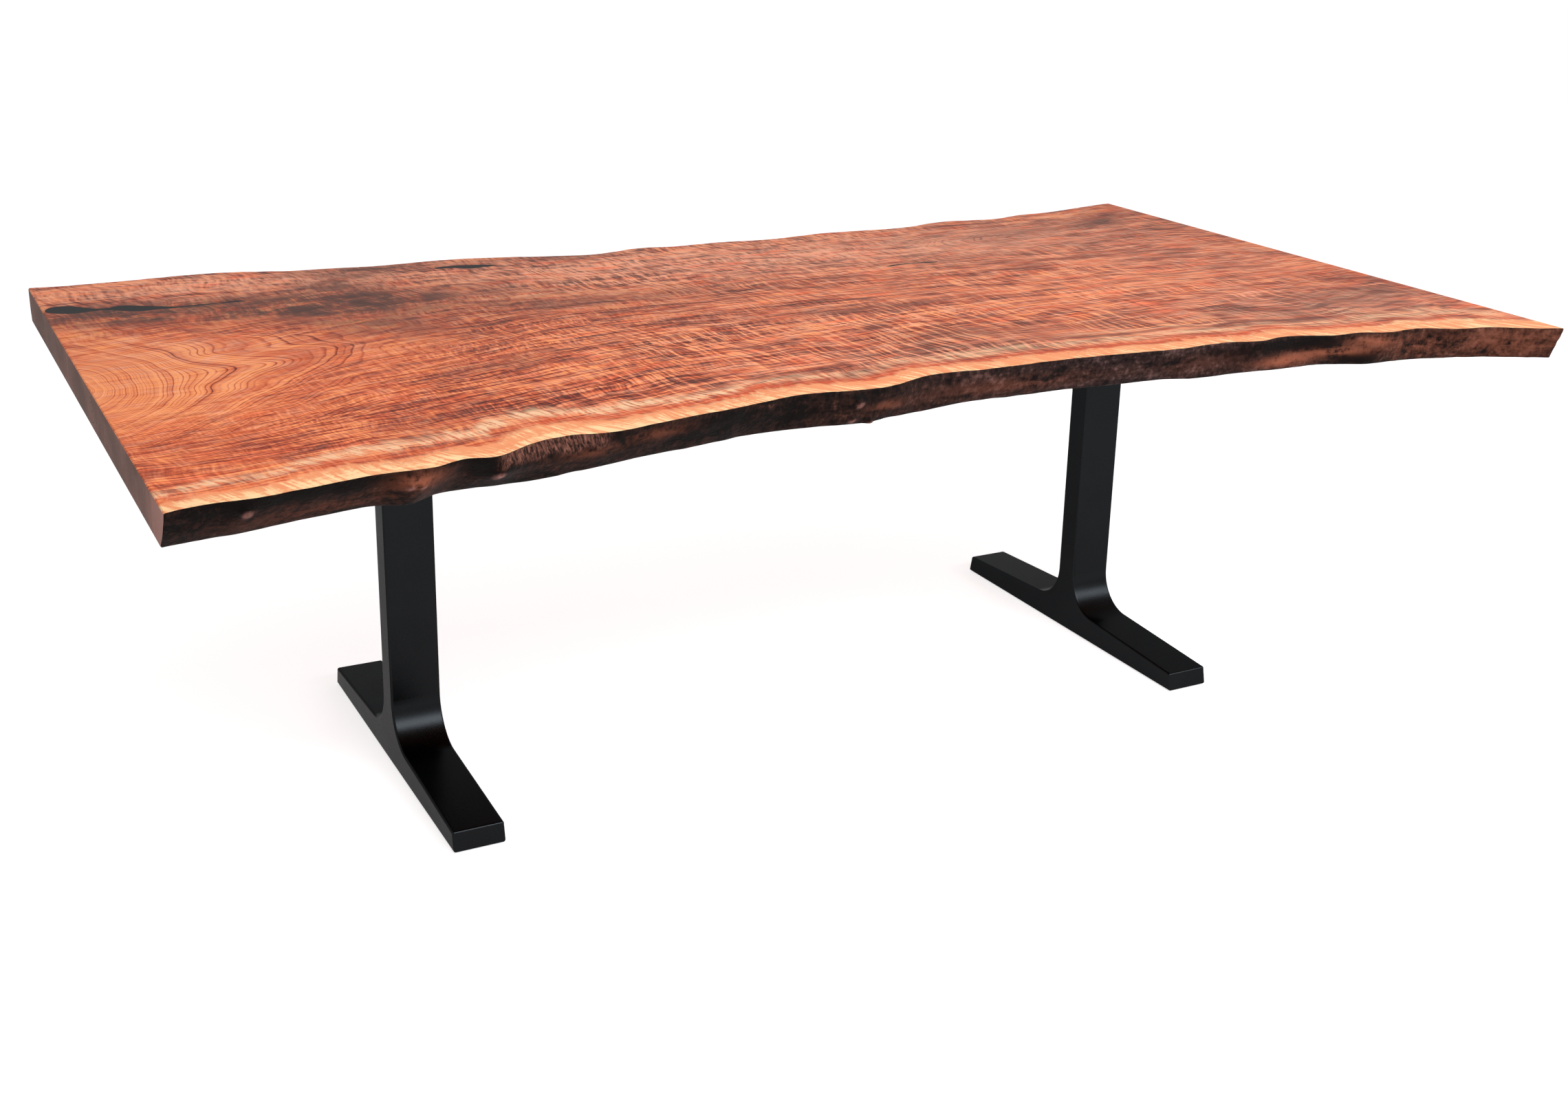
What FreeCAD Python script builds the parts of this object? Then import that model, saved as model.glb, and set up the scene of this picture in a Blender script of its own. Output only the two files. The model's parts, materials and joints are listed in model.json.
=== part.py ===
"""Live edge dining table: one wide natural-edge slab on two welded steel pedestal bases.

Millimetres, Z up. The origin is on the floor under the middle of the slab, X runs along the grain
and Y towards the back edge.
"""
import FreeCAD
import Part
import Sketcher
import math
import os
import re

Vector = FreeCAD.Vector

SIZES = {
    # The slab
    "table_height": 750,
    "slab_length": 2438,
    "slab_width": 1358,
    "slab_thickness": 60,
    "edge_bulge": 4,
    # Black resin cast into the slab's voids
    "resin_depth": 20,
    "resin_gap": 0.1,
    # Where the two bases stand under the slab
    "base_spacing": 1437,
    "base_shift_left": 9,
    "base_shift_back": 14,
    # Steel section of a base
    "base_width": 87,
    "wall": 6,
    "edge_round": 4,
    "post_depth": 50,
    # Foot, and the arm that is the same pressing turned over
    "foot_reach": 350,
    "foot_rake": 7.5,
    "foot_end_height": 36,
    "foot_root_height": 54,
    "bend_radius": 75,
    "neck_stub": 15,
    "floor_clearance": 1.5,
    "sole_thickness": 10,
    "weld_gap": 0.2,
    # Mounting plate under the slab
    "plate_thickness": 8,
    "plate_overhang": 12,
    "plate_side": 20,
    "plate_corner": 18,
    "slot_width": 9,
    "slot_travel": 15,
    "bolt_edge": 50,
    "tool_room": 10,
    # Screws that hold the slab, with their washers and threaded inserts
    "bolt_radius": 4,
    "bolt_head_radius": 7,
    "bolt_head_height": 4.4,
    "bolt_head_round": 2,
    "socket_width": 5,
    "socket_depth": 2.5,
    "thread_engagement": 16,
    "thread_gap": 0.05,
    "washer_radius": 8,
    "washer_play": 0.4,
    "washer_thickness": 1.6,
    "insert_radius": 7,
    "insert_length": 22,
    "insert_gap": 0.05,
    "insert_spare": 2,
    # Screw levellers in the feet
    "leveller_inset": 50,
    "stud_radius": 5,
    "stud_play": 0.5,
    "stud_headroom": 2.5,
    "stud_chamfer": 0.8,
    "pad_radius": 16,
    "pad_thickness": 6,
    "pad_floor": 2,
    "pad_round": 1.2,
    "pad_play": 0.5,
    "stop_gap": 0.3,
    "nut_width": 17,
    "nut_height": 8,
}

WORKED = {
    "slab_half_length": "slab_length / 2",
    "slab_half_width": "slab_width / 2",
    "underside": "table_height - slab_thickness",
    "base_half_spacing": "base_spacing / 2",
    # Outside of the foot: a raked end, a top that slopes up to the post, and a bend into the neck
    "base_half_width": "base_width / 2",
    "post_half_depth": "post_depth / 2",
    "foot_floor_reach": "foot_reach + foot_rake",
    "foot_slope": "(foot_root_height - foot_end_height) / (foot_reach - post_half_depth)",
    "foot_end_slope": "foot_rake / (foot_end_height - floor_clearance)",
    "bend_run": "bend_radius * tan((90 deg - atan(foot_slope)) / 2)",
    "neck_height": "foot_root_height + bend_run + neck_stub",
    # Inside of the foot: the same lines, one wall thickness in
    "hollow_width": "base_width - 2 * wall",
    "hollow_half_width": "hollow_width / 2",
    "hollow_half_depth": "post_half_depth - wall",
    "top_wall": "wall * sqrt(1 + foot_slope ^ 2)",
    "end_wall": "wall * sqrt(1 + foot_end_slope ^ 2)",
    "hollow_end_drop": "(top_wall - foot_slope * end_wall) / (1 - foot_slope * foot_end_slope)",
    "hollow_end_height": "foot_end_height - hollow_end_drop",
    "hollow_end_reach": "foot_reach + foot_end_slope * hollow_end_drop - end_wall",
    "hollow_floor_reach": "foot_floor_reach - end_wall",
    "hollow_root_height": "foot_root_height + foot_slope * wall - top_wall",
    "hollow_bend": "bend_radius + wall",
    # Sole plate, fitted inside the foot's walls
    "sole_top": "floor_clearance + sole_thickness",
    "sole_width": "hollow_width - 2 * weld_gap",
    "sole_floor_reach": "hollow_floor_reach - weld_gap",
    "sole_top_reach": "sole_floor_reach - foot_end_slope * sole_thickness",
    # Post, arm and mounting plate
    "plate_bottom": "underside - plate_thickness",
    "arm_turn_height": "plate_bottom + floor_clearance",
    "post_length": "arm_turn_height - 2 * neck_height",
    "bolt_gauge": "base_half_width + washer_radius + tool_room",
    "plate_half_width": "bolt_gauge + plate_side",
    "plate_half_length": "foot_floor_reach + plate_overhang",
    "bolt_pitch": "plate_half_length - bolt_edge",
    "slot_radius": "slot_width / 2",
    "slot_half_run": "slot_travel / 2",
    # Screws, washers and inserts
    "head_top": "plate_bottom - washer_thickness",
    "head_bottom": "head_top - bolt_head_height",
    "shank_length": "washer_thickness + plate_thickness + thread_engagement",
    "washer_bore": "bolt_radius + washer_play",
    "insert_bore": "bolt_radius + thread_gap",
    "insert_hole": "insert_radius + insert_gap",
    "insert_hole_depth": "insert_length + insert_spare",
    "socket_half_width": "socket_width / 2",
    "socket_corner": "socket_width / sqrt(3)",
    "socket_half_corner": "socket_corner / 2",
    # Levellers
    "leveller_reach": "foot_reach - leveller_inset",
    "pad_recess": "pad_radius + pad_play",
    "pad_recess_depth": "pad_thickness + stop_gap - floor_clearance",
    "stud_hole": "stud_radius + stud_play",
    "stud_bore": "stud_radius + thread_gap",
    "stud_ceiling": "foot_end_height + foot_slope * (leveller_inset - stud_radius) - top_wall",
    "stud_length": "stud_ceiling - stud_headroom - pad_floor",
    "pad_socket_depth": "pad_thickness - pad_floor",
    "nut_half_width": "nut_width / 2",
    "nut_corner": "nut_width / sqrt(3)",
    "nut_half_corner": "nut_corner / 2",
}

# Each live edge by hand-measured stations: share of the length from the left end, how far the upper
# rim is set back from the slab's widest line, and how much further in the lower rim lies.
FRONT_EDGE = (
    (0.000, 0, 47), (0.028, 13, 43), (0.045, 13, 49), (0.071, 24, 51), (0.099, 38, 49),
    (0.118, 44, 49), (0.133, 43, 38), (0.150, 47, 56), (0.166, 60, 50), (0.176, 55, 55),
    (0.198, 78, 29), (0.214, 95, 12), (0.238, 103, 18), (0.254, 96, 34), (0.276, 104, 40),
    (0.326, 128, 36), (0.352, 140, 37), (0.391, 159, 23), (0.426, 152, 19), (0.450, 148, 23),
    (0.465, 155, 21), (0.482, 172, 11), (0.523, 179, 23), (0.562, 175, 27), (0.605, 175, 26),
    (0.660, 167, 23), (0.688, 159, 26), (0.709, 160, 10), (0.735, 162, 6), (0.760, 147, 19),
    (0.779, 154, 8), (0.807, 142, 17), (0.819, 130, 27), (0.849, 122, 10), (0.861, 110, 15),
    (0.886, 108, 15), (0.907, 97, 18), (0.917, 82, 26), (0.946, 68, 21), (0.969, 39, 26),
    (1.000, 4, 23),
)
BACK_EDGE = (
    (0.000, 25, 10), (0.041, 29, 14), (0.102, 19, 22), (0.143, 20, 26), (0.183, 44, 20),
    (0.225, 58, 24), (0.268, 65, 30), (0.303, 59, 34), (0.358, 73, 26), (0.402, 100, 20),
    (0.450, 109, 18), (0.478, 90, 30), (0.502, 97, 24), (0.555, 92, 22), (0.607, 100, 18),
    (0.637, 88, 26), (0.666, 82, 28), (0.721, 90, 20), (0.751, 84, 22), (0.786, 64, 32),
    (0.845, 71, 24), (0.882, 51, 28), (0.916, 44, 24), (0.955, 21, 30), (1.000, 0, 26),
)
SLAB_LEVELS = (0, 0.5, 1)

# Voids in the slab's top, each by its start as a share of the length and by stations along it:
# distance from the start, distance in from the back edge's widest line, and half width.
VOIDS = {
    "end_void": (0.0, (
        (8, 223, 14), (18, 222, 25), (40, 227, 31), (70, 237, 17), (96, 245, 6), (127, 248, 22),
        (153, 259, 23), (184, 267, 13), (214, 274, 6), (250, 272, 4), (290, 269, 3), (330, 267, 2.5),
    )),
    "back_void": (0.295, (
        (8, 128, 5), (30, 127, 9), (52, 131, 15), (75, 138, 17), (98, 138, 11), (122, 142, 4),
    )),
    "crack": (0.637, (
        (8, 437, 2), (28, 431, 4), (55, 428, 3), (85, 430, 2.5), (125, 434, 2),
    )),
}
VOID_TIP = 4

SIDES = {"left": "- base_half_spacing - base_shift_left", "right": "base_half_spacing - base_shift_left"}
FOOT_ENDS = {"front": "- leveller_reach", "back": "leveller_reach"}
BOLT_COLUMNS = ("- bolt_gauge", "bolt_gauge")
BOLT_ROWS = ("- bolt_pitch", "0", "bolt_pitch")
BOLT_PLACES = [(column, row) for column in BOLT_COLUMNS for row in BOLT_ROWS]
LEVELLER_PLACES = [("0", reach) for reach in FOOT_ENDS.values()]
NEAR = 0.01

doc = FreeCAD.newDocument("live_edge_dining_table")
sizes = doc.addObject("Spreadsheet::Sheet", "Sizes")
worked = doc.addObject("Spreadsheet::Sheet", "Worked")
nodes = []


def expression(formula, inside_worked=False):
    """The formula with each size name pointed at the sheet that holds it."""
    def point(match):
        word = match.group()
        if word in SIZES:
            return f"Sizes.{word}"
        if word in WORKED and not inside_worked:
            return f"Worked.{word}"
        return word
    return re.sub(r"[a-z_]+", point, formula)


def fill_sheets():
    """Driving dimensions as plain numbers in one sheet, what follows from them in the other."""
    for row, (name, number) in enumerate(SIZES.items(), start=1):
        sizes.set(f"A{row}", name)
        sizes.set(f"B{row}", str(number))
        sizes.setAlias(f"B{row}", name)
    for row, (name, formula) in enumerate(WORKED.items(), start=1):
        worked.set(f"A{row}", name)
        worked.set(f"B{row}", "=" + expression(formula, inside_worked=True))
        worked.setAlias(f"B{row}", name)
    doc.recompute()


def value(name):
    """Number held by a named size."""
    return float(sizes.get(name) if name in SIZES else worked.get(name))


def amount(formula):
    """Number that a sum of signed size names comes to."""
    total = 0.0
    sign = 1
    for word in formula.split():
        if word in ("+", "-"):
            sign = 1 if word == "+" else -1
        elif word != "0":
            total += sign * value(word)
    return total


def new_body(label, x="0", y="0", z="0", turned_over=False):
    """Body placed by formulas, turned over about X where the piece hangs upside down."""
    body = doc.addObject("PartDesign::Body", label)
    body.Label = label
    if turned_over:
        body.Placement = FreeCAD.Placement(Vector(), FreeCAD.Rotation(Vector(1, 0, 0), 180))
    for axis, formula in (("x", x), ("y", y), ("z", z)):
        body.setExpression(f".Placement.Base.{axis}", expression(formula))
    return body


def new_sketch(body, title, role, lift="0"):
    """Sketch on one of the body's own origin planes, lifted along the plane's normal."""
    sketch = body.newObject("Sketcher::SketchObject", f"{body.Name}_{title}")
    plane = next(feature for feature in body.Origin.OriginFeatures if feature.Role == role)
    sketch.AttachmentSupport = [(plane, "")]
    sketch.MapMode = "FlatFace"
    sketch.setExpression(".AttachmentOffset.Base.z", expression(lift))
    return sketch


def bind(sketch, constraint, formula):
    """Add a dimension to the sketch and tie it to the sheets."""
    index = sketch.addConstraint(constraint)
    sketch.setExpression(f"Constraints[{index}]", expression(formula))


def pin(sketch, geometry, point, across, up):
    """Tie one point of the sketch to two formulas measured from the sketch's origin."""
    for kind, formula in (("DistanceX", across), ("DistanceY", up)):
        bind(sketch, Sketcher.Constraint(kind, -1, 1, geometry, point, amount(formula)), formula)


def polygon(sketch, corners):
    """Closed run of straight lines with every corner pinned."""
    points = [Vector(amount(across), amount(up), 0) for across, up in corners]
    first = sketch.GeometryCount
    count = len(points)
    for index in range(count):
        sketch.addGeometry(Part.LineSegment(points[index], points[(index + 1) % count]), False)
    for index in range(count):
        line = first + index
        following = first + (index + 1) % count
        sketch.addConstraint(Sketcher.Constraint("Coincident", line, 2, following, 1))
    for index, (across, up) in enumerate(corners):
        pin(sketch, first + index, 1, across, up)


def rectangle(sketch, half_width, half_height):
    """Rectangle about the sketch's origin."""
    polygon(sketch, [
        (f"- {half_width}", f"- {half_height}"), (half_width, f"- {half_height}"),
        (half_width, half_height), (f"- {half_width}", half_height),
    ])


def hexagon(sketch, corner, half_corner, half_width, across, up):
    """Hexagon about a place, with two corners along the first axis."""
    polygon(sketch, [
        (f"{across} + {corner}", up),
        (f"{across} + {half_corner}", f"{up} + {half_width}"),
        (f"{across} - {half_corner}", f"{up} + {half_width}"),
        (f"{across} - {corner}", up),
        (f"{across} - {half_corner}", f"{up} - {half_width}"),
        (f"{across} + {half_corner}", f"{up} - {half_width}"),
    ])


def circle(sketch, radius, across, up):
    """Circle of a named radius about a pinned centre."""
    centre = Vector(amount(across), amount(up), 0)
    ring = sketch.addGeometry(Part.Circle(centre, Vector(0, 0, 1), value(radius)), False)
    pin(sketch, ring, 3, across, up)
    bind(sketch, Sketcher.Constraint("Radius", ring, value(radius)), radius)


def slot(sketch, radius, half_run, across, up):
    """Slot along the second axis: two half circles about pinned centres, joined by two lines."""
    ends = []
    for sign, start in (("+", 0), ("-", math.pi)):
        centre_up = f"{up} {sign} {half_run}"
        ring = Part.Circle(Vector(amount(across), amount(centre_up), 0), Vector(0, 0, 1), value(radius))
        end = sketch.addGeometry(Part.ArcOfCircle(ring, start, start + math.pi), False)
        pin(sketch, end, 3, across, centre_up)
        bind(sketch, Sketcher.Constraint("Radius", end, value(radius)), radius)
        ends.append(end)
    upper, lower = ends
    for arc_from, arc_to in ((upper, lower), (lower, upper)):
        start = sketch.getPoint(arc_from, 2)
        finish = sketch.getPoint(arc_to, 1)
        side = sketch.addGeometry(Part.LineSegment(start, finish), False)
        sketch.addConstraint(Sketcher.Constraint("Tangent", arc_from, 2, side, 1))
        sketch.addConstraint(Sketcher.Constraint("Tangent", side, 2, arc_to, 1))


def extrude(body, kind, sketch, length, symmetric=False, reverse=False):
    """Pad or pocket of a sketch, checked by the change of volume it makes."""
    doc.recompute()
    before = body.Shape.Volume if body.Tip else 0.0
    feature = body.newObject(f"PartDesign::{kind}", f"{sketch.Name}_{kind.lower()}")
    feature.Profile = sketch
    feature.SideType = "Symmetric" if symmetric else "One side"
    feature.Reversed = reverse
    feature.setExpression("Length", expression(length))
    body.Tip = feature
    doc.recompute()
    growth = body.Shape.Volume - before
    if (growth <= 0) if kind == "Pad" else (growth >= 0):
        raise RuntimeError(f"{feature.Name} left the volume of {body.Label} as it was")
    return feature


def pad(body, sketch, length, symmetric=False):
    """Material added along the sketch's normal, or to both sides of it."""
    return extrude(body, "Pad", sketch, length, symmetric)


def pocket(body, sketch, length, symmetric=False):
    """Material taken away along the sketch's normal, or to both sides of it."""
    return extrude(body, "Pocket", sketch, length, symmetric, reverse=not symmetric)


def dress_edges(body, kind, size_name, size, chosen):
    """Fillet or chamfer the edges of the body's last feature that a test picks out."""
    base = body.Tip
    names = [f"Edge{number}" for number, edge in enumerate(base.Shape.Edges, start=1) if chosen(edge)]
    if not names:
        raise RuntimeError(f"no edges of {body.Label} for {kind} by {size}")
    feature = body.newObject(f"PartDesign::{kind}", f"{base.Name}_{kind.lower()}")
    feature.Base = (base, names)
    feature.setExpression(size_name, expression(size))
    body.Tip = feature
    doc.recompute()


def fillet(body, radius, chosen):
    """Round the chosen edges."""
    dress_edges(body, "Fillet", "Radius", radius, chosen)


def chamfer(body, size, chosen):
    """Bevel the chosen edges."""
    dress_edges(body, "Chamfer", "Size", size, chosen)


def near(a, b):
    """True where two measures agree."""
    return abs(a - b) < NEAR


def runs_along_x(edge, reach, height):
    """True for an edge along X at a distance from the middle plane and a height."""
    box = edge.BoundBox
    straight = box.YLength < NEAR and box.ZLength < NEAR
    return straight and near(abs(box.Center.y), reach) and near(box.Center.z, height)


def lies_at_height(edge, height):
    """True for an edge that lies flat at a height."""
    box = edge.BoundBox
    return box.ZLength < NEAR and near(box.Center.z, height)


def is_upright(edge):
    """True for an edge along Z."""
    box = edge.BoundBox
    return box.XLength < NEAR and box.YLength < NEAR


def add_node(piece):
    """List a finished piece for the parts folder."""
    nodes.append(piece)
    return piece


# The slab


def live_edge(stations, side, level):
    """Natural edge at one level, from 0 at the upper rim to 1 at the lower rim, left to right."""
    height = value("table_height") - level * value("slab_thickness")
    swell = 4 * value("edge_bulge") * level * (1 - level)
    points = []
    for share, setback, undercut in stations:
        reach = value("slab_half_width") - setback - level * undercut + swell
        points.append(Vector((share - 0.5) * value("slab_length"), side * reach, height))
    curve = Part.BSplineCurve()
    curve.interpolate(Points=points, Parameters=[share for share, _, _ in stations])
    return curve.toShape()


def slab_outline(level):
    """Closed outline of the slab at one level: two live edges joined by the straight sawn ends."""
    front = live_edge(FRONT_EDGE, -1, level)
    back = live_edge(BACK_EDGE, 1, level)
    left_end = Part.makeLine(back.firstVertex().Point, front.firstVertex().Point)
    right_end = Part.makeLine(front.lastVertex().Point, back.lastVertex().Point)
    return Part.Wire([front, right_end, back, left_end])


def void_body(name, label, growth="0"):
    """Fill of one void, drawn as two smooth banks between its pointed ends and cast downwards."""
    start, stations = VOIDS[name]
    body = new_body(label, f"{start} * slab_length - slab_half_length", "slab_half_width", "table_height")
    sketch = new_sketch(body, "banks", "XY_Plane")
    extra = amount(growth)
    first, last = stations[0], stations[-1]
    left_tip = Vector(first[0] - VOID_TIP - extra, -first[1], 0)
    right_tip = Vector(last[0] + VOID_TIP + extra, -last[1], 0)
    for side in (-1, 1):
        bank = [Vector(along, side * (half + extra) - inwards, 0) for along, inwards, half in stations]
        curve = Part.BSplineCurve()
        curve.interpolate([left_tip] + bank + [right_tip])
        sketch.addGeometry(curve, False)
    extrude(body, "Pad", sketch, f"resin_depth + {growth}", reverse=True)
    return body


def pegs_body(label, side, radius, height, lift):
    """Round pegs at a base's six fastener places."""
    body = new_body(label, SIDES[side], "base_shift_back")
    sketch = new_sketch(body, "pegs", "XY_Plane", lift)
    for column, row in BOLT_PLACES:
        circle(sketch, radius, column, row)
    pad(body, sketch, height)
    return body


def make_slab():
    """Slab with its voids and the holes for the threaded inserts, and the resin in the voids."""
    blank = doc.addObject("Part::Feature", "slab_blank")
    blank.Shape = Part.makeLoft([slab_outline(level) for level in SLAB_LEVELS], True, False)
    cutters = []
    for name in VOIDS:
        add_node(void_body(name, f"{name}_resin"))
        cutters.append(void_body(name, f"{name}_space", "resin_gap"))
    for side in SIDES:
        holes = pegs_body(f"{side}_insert_holes", side, "insert_hole", "insert_hole_depth", "underside")
        cutters.append(holes)
    removed = doc.addObject("Part::Compound", "slab_removed")
    removed.Links = cutters
    slab = doc.addObject("Part::Cut", "slab")
    slab.Base = blank
    slab.Tool = removed
    slab.Label = "slab"
    add_node(slab)


# A base


def pressing(label, side, turned_over):
    """Hollow foot or arm: a raked, sloping beam that bends up into the neck the post is welded to."""
    height = "arm_turn_height" if turned_over else "0"
    body = new_body(label, SIDES[side], "base_shift_back", height, turned_over)
    outside = new_sketch(body, "outside", "YZ_Plane")
    polygon(outside, [
        ("- foot_floor_reach", "floor_clearance"), ("foot_floor_reach", "floor_clearance"),
        ("foot_reach", "foot_end_height"), ("post_half_depth", "foot_root_height"),
        ("post_half_depth", "neck_height"), ("- post_half_depth", "neck_height"),
        ("- post_half_depth", "foot_root_height"), ("- foot_reach", "foot_end_height"),
    ])
    pad(body, outside, "base_width", symmetric=True)
    fillet(body, "bend_radius",
           lambda edge: runs_along_x(edge, value("post_half_depth"), value("foot_root_height")))

    def is_outer_edge(edge):
        if lies_at_height(edge, value("neck_height")):
            return False
        box = edge.BoundBox
        on_side = box.XLength < NEAR and near(abs(box.Center.x), value("base_half_width"))
        upper_end = runs_along_x(edge, value("foot_reach"), value("foot_end_height"))
        lower_end = runs_along_x(edge, value("foot_floor_reach"), value("floor_clearance"))
        return on_side or upper_end or lower_end

    fillet(body, "edge_round", is_outer_edge)
    hollow = new_sketch(body, "hollow", "YZ_Plane")
    polygon(hollow, [
        ("- hollow_floor_reach", "floor_clearance"), ("hollow_floor_reach", "floor_clearance"),
        ("hollow_end_reach", "hollow_end_height"), ("hollow_half_depth", "hollow_root_height"),
        ("hollow_half_depth", "neck_height"), ("- hollow_half_depth", "neck_height"),
        ("- hollow_half_depth", "hollow_root_height"), ("- hollow_end_reach", "hollow_end_height"),
    ])
    pocket(body, hollow, "hollow_width", symmetric=True)
    fillet(body, "hollow_bend",
           lambda edge: runs_along_x(edge, value("hollow_half_depth"), value("hollow_root_height")))
    return add_node(body)


def make_sole_plate(side):
    """Plate welded inside the foot's rim, recessed for the leveller pads and bored for their studs."""
    body = new_body(f"{side}_sole_plate", SIDES[side], "base_shift_back")
    section = new_sketch(body, "section", "YZ_Plane")
    polygon(section, [
        ("- sole_floor_reach", "floor_clearance"), ("sole_floor_reach", "floor_clearance"),
        ("sole_top_reach", "sole_top"), ("- sole_top_reach", "sole_top"),
    ])
    pad(body, section, "sole_width", symmetric=True)
    for title, radius, depth in (("recesses", "pad_recess", "pad_recess_depth"),
                                 ("holes", "stud_hole", "sole_thickness")):
        sketch = new_sketch(body, title, "XY_Plane", "floor_clearance")
        for across, up in LEVELLER_PLACES:
            circle(sketch, radius, across, up)
        pocket(body, sketch, depth)
    add_node(body)


def make_leveller_nuts(side):
    """Two hexagon nuts welded on the sole plate."""
    body = new_body(f"{side}_leveller_nuts", SIDES[side], "base_shift_back")
    sketch = new_sketch(body, "nuts", "XY_Plane", "sole_top")
    for across, up in LEVELLER_PLACES:
        hexagon(sketch, "nut_corner", "nut_half_corner", "nut_half_width", across, up)
        circle(sketch, "stud_bore", across, up)
    pad(body, sketch, "nut_height")
    add_node(body)


def make_post_tube(side):
    """Upright rectangular tube between the two necks."""
    body = new_body(f"{side}_post_tube", SIDES[side], "base_shift_back")
    outside = new_sketch(body, "outside", "XY_Plane", "neck_height")
    rectangle(outside, "base_half_width", "post_half_depth")
    pad(body, outside, "post_length")
    fillet(body, "edge_round", is_upright)
    bore = new_sketch(body, "bore", "XY_Plane", "neck_height")
    rectangle(bore, "hollow_half_width", "hollow_half_depth")
    pocket(body, bore, "post_length")
    add_node(body)


def make_mounting_plate(side):
    """Plate between arm and slab, slotted across the grain so that the wood can move."""
    body = new_body(f"{side}_mounting_plate", SIDES[side], "base_shift_back")
    outline = new_sketch(body, "outline", "XY_Plane", "plate_bottom")
    rectangle(outline, "plate_half_width", "plate_half_length")
    pad(body, outline, "plate_thickness")
    fillet(body, "plate_corner", is_upright)
    slots = new_sketch(body, "slots", "XY_Plane", "plate_bottom")
    for column, row in BOLT_PLACES:
        slot(slots, "slot_radius", "slot_half_run", column, row)
    pocket(body, slots, "plate_thickness")
    add_node(body)


def make_slab_fasteners(side):
    """Button head screws with washers under the plate, and the threaded inserts they turn into."""
    bolts = pegs_body(f"{side}_slab_bolts", side, "bolt_head_radius", "bolt_head_height", "head_bottom")
    fillet(bolts, "bolt_head_round", lambda edge: lies_at_height(edge, value("head_bottom")))
    shanks = new_sketch(bolts, "shanks", "XY_Plane", "head_top")
    sockets = new_sketch(bolts, "sockets", "XY_Plane", "head_bottom")
    for column, row in BOLT_PLACES:
        circle(shanks, "bolt_radius", column, row)
        hexagon(sockets, "socket_corner", "socket_half_corner", "socket_half_width", column, row)
    pad(bolts, shanks, "shank_length")
    pocket(bolts, sockets, "socket_depth")
    add_node(bolts)
    for title, outer, inner, lift, height in (
            ("slab_washers", "washer_radius", "washer_bore", "head_top", "washer_thickness"),
            ("slab_inserts", "insert_radius", "insert_bore", "underside", "insert_length")):
        ring = new_body(f"{side}_{title}", SIDES[side], "base_shift_back")
        sketch = new_sketch(ring, "rings", "XY_Plane", lift)
        for column, row in BOLT_PLACES:
            circle(sketch, outer, column, row)
            circle(sketch, inner, column, row)
        pad(ring, sketch, height)
        add_node(ring)


def make_leveller(side, end):
    """Screw leveller: a stud moulded into a round pad that stands on the floor."""
    place = (SIDES[side], f"base_shift_back + {FOOT_ENDS[end]}".replace("+ -", "-"))
    disc = new_body(f"{side}_{end}_leveller_pad", *place)
    rim = new_sketch(disc, "rim", "XY_Plane")
    circle(rim, "pad_radius", "0", "0")
    pad(disc, rim, "pad_thickness")
    fillet(disc, "pad_round", lambda edge: lies_at_height(edge, 0))
    socket = new_sketch(disc, "socket", "XY_Plane", "pad_floor")
    circle(socket, "stud_bore", "0", "0")
    pocket(disc, socket, "pad_socket_depth")
    add_node(disc)
    stud = new_body(f"{side}_{end}_leveller_stud", *place, "pad_floor")
    shank = new_sketch(stud, "shank", "XY_Plane")
    circle(shank, "stud_radius", "0", "0")
    pad(stud, shank, "stud_length")
    chamfer(stud, "stud_chamfer", lambda edge: lies_at_height(edge, value("stud_length")))
    add_node(stud)


def make_base(side):
    """One pedestal base with its levellers and the fasteners that hold the slab."""
    pressing(f"{side}_foot_shell", side, turned_over=False)
    make_sole_plate(side)
    make_leveller_nuts(side)
    make_post_tube(side)
    pressing(f"{side}_arm_shell", side, turned_over=True)
    make_mounting_plate(side)
    make_slab_fasteners(side)
    for end in FOOT_ENDS:
        make_leveller(side, end)


def check_document():
    """Stop if any object failed or any piece is not a sound solid."""
    for item in doc.Objects:
        if "Invalid" in item.State or "Error" in item.State:
            raise RuntimeError(f"{item.Name} failed: {item.State}")
    for piece in nodes:
        shape = piece.Shape
        if shape.isNull() or not shape.isValid() or not shape.Solids:
            raise RuntimeError(f"{piece.Label} is not a sound solid")


def write_parts():
    """Write each piece to its own file and say what it measures."""
    os.makedirs("parts", exist_ok=True)
    for piece in nodes:
        shape = piece.Shape
        shape.exportStep(f"parts/{piece.Label}.step")
        box = shape.BoundBox
        print(f"{piece.Label}: {len(shape.Solids)} solid(s), {shape.Volume / 1000:.1f} cm3,"
              f" {box.XLength:.1f} x {box.YLength:.1f} x {box.ZLength:.1f} mm")


fill_sheets()
make_slab()
for base_side in SIDES:
    make_base(base_side)
doc.recompute()
check_document()
write_parts()
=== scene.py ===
"""Looks of the live edge dining table, laid out as an add-on and run as a script.

Metres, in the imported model's own frame: X along the grain, Y towards the back edge, Z up.
"""
import json
import math

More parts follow.
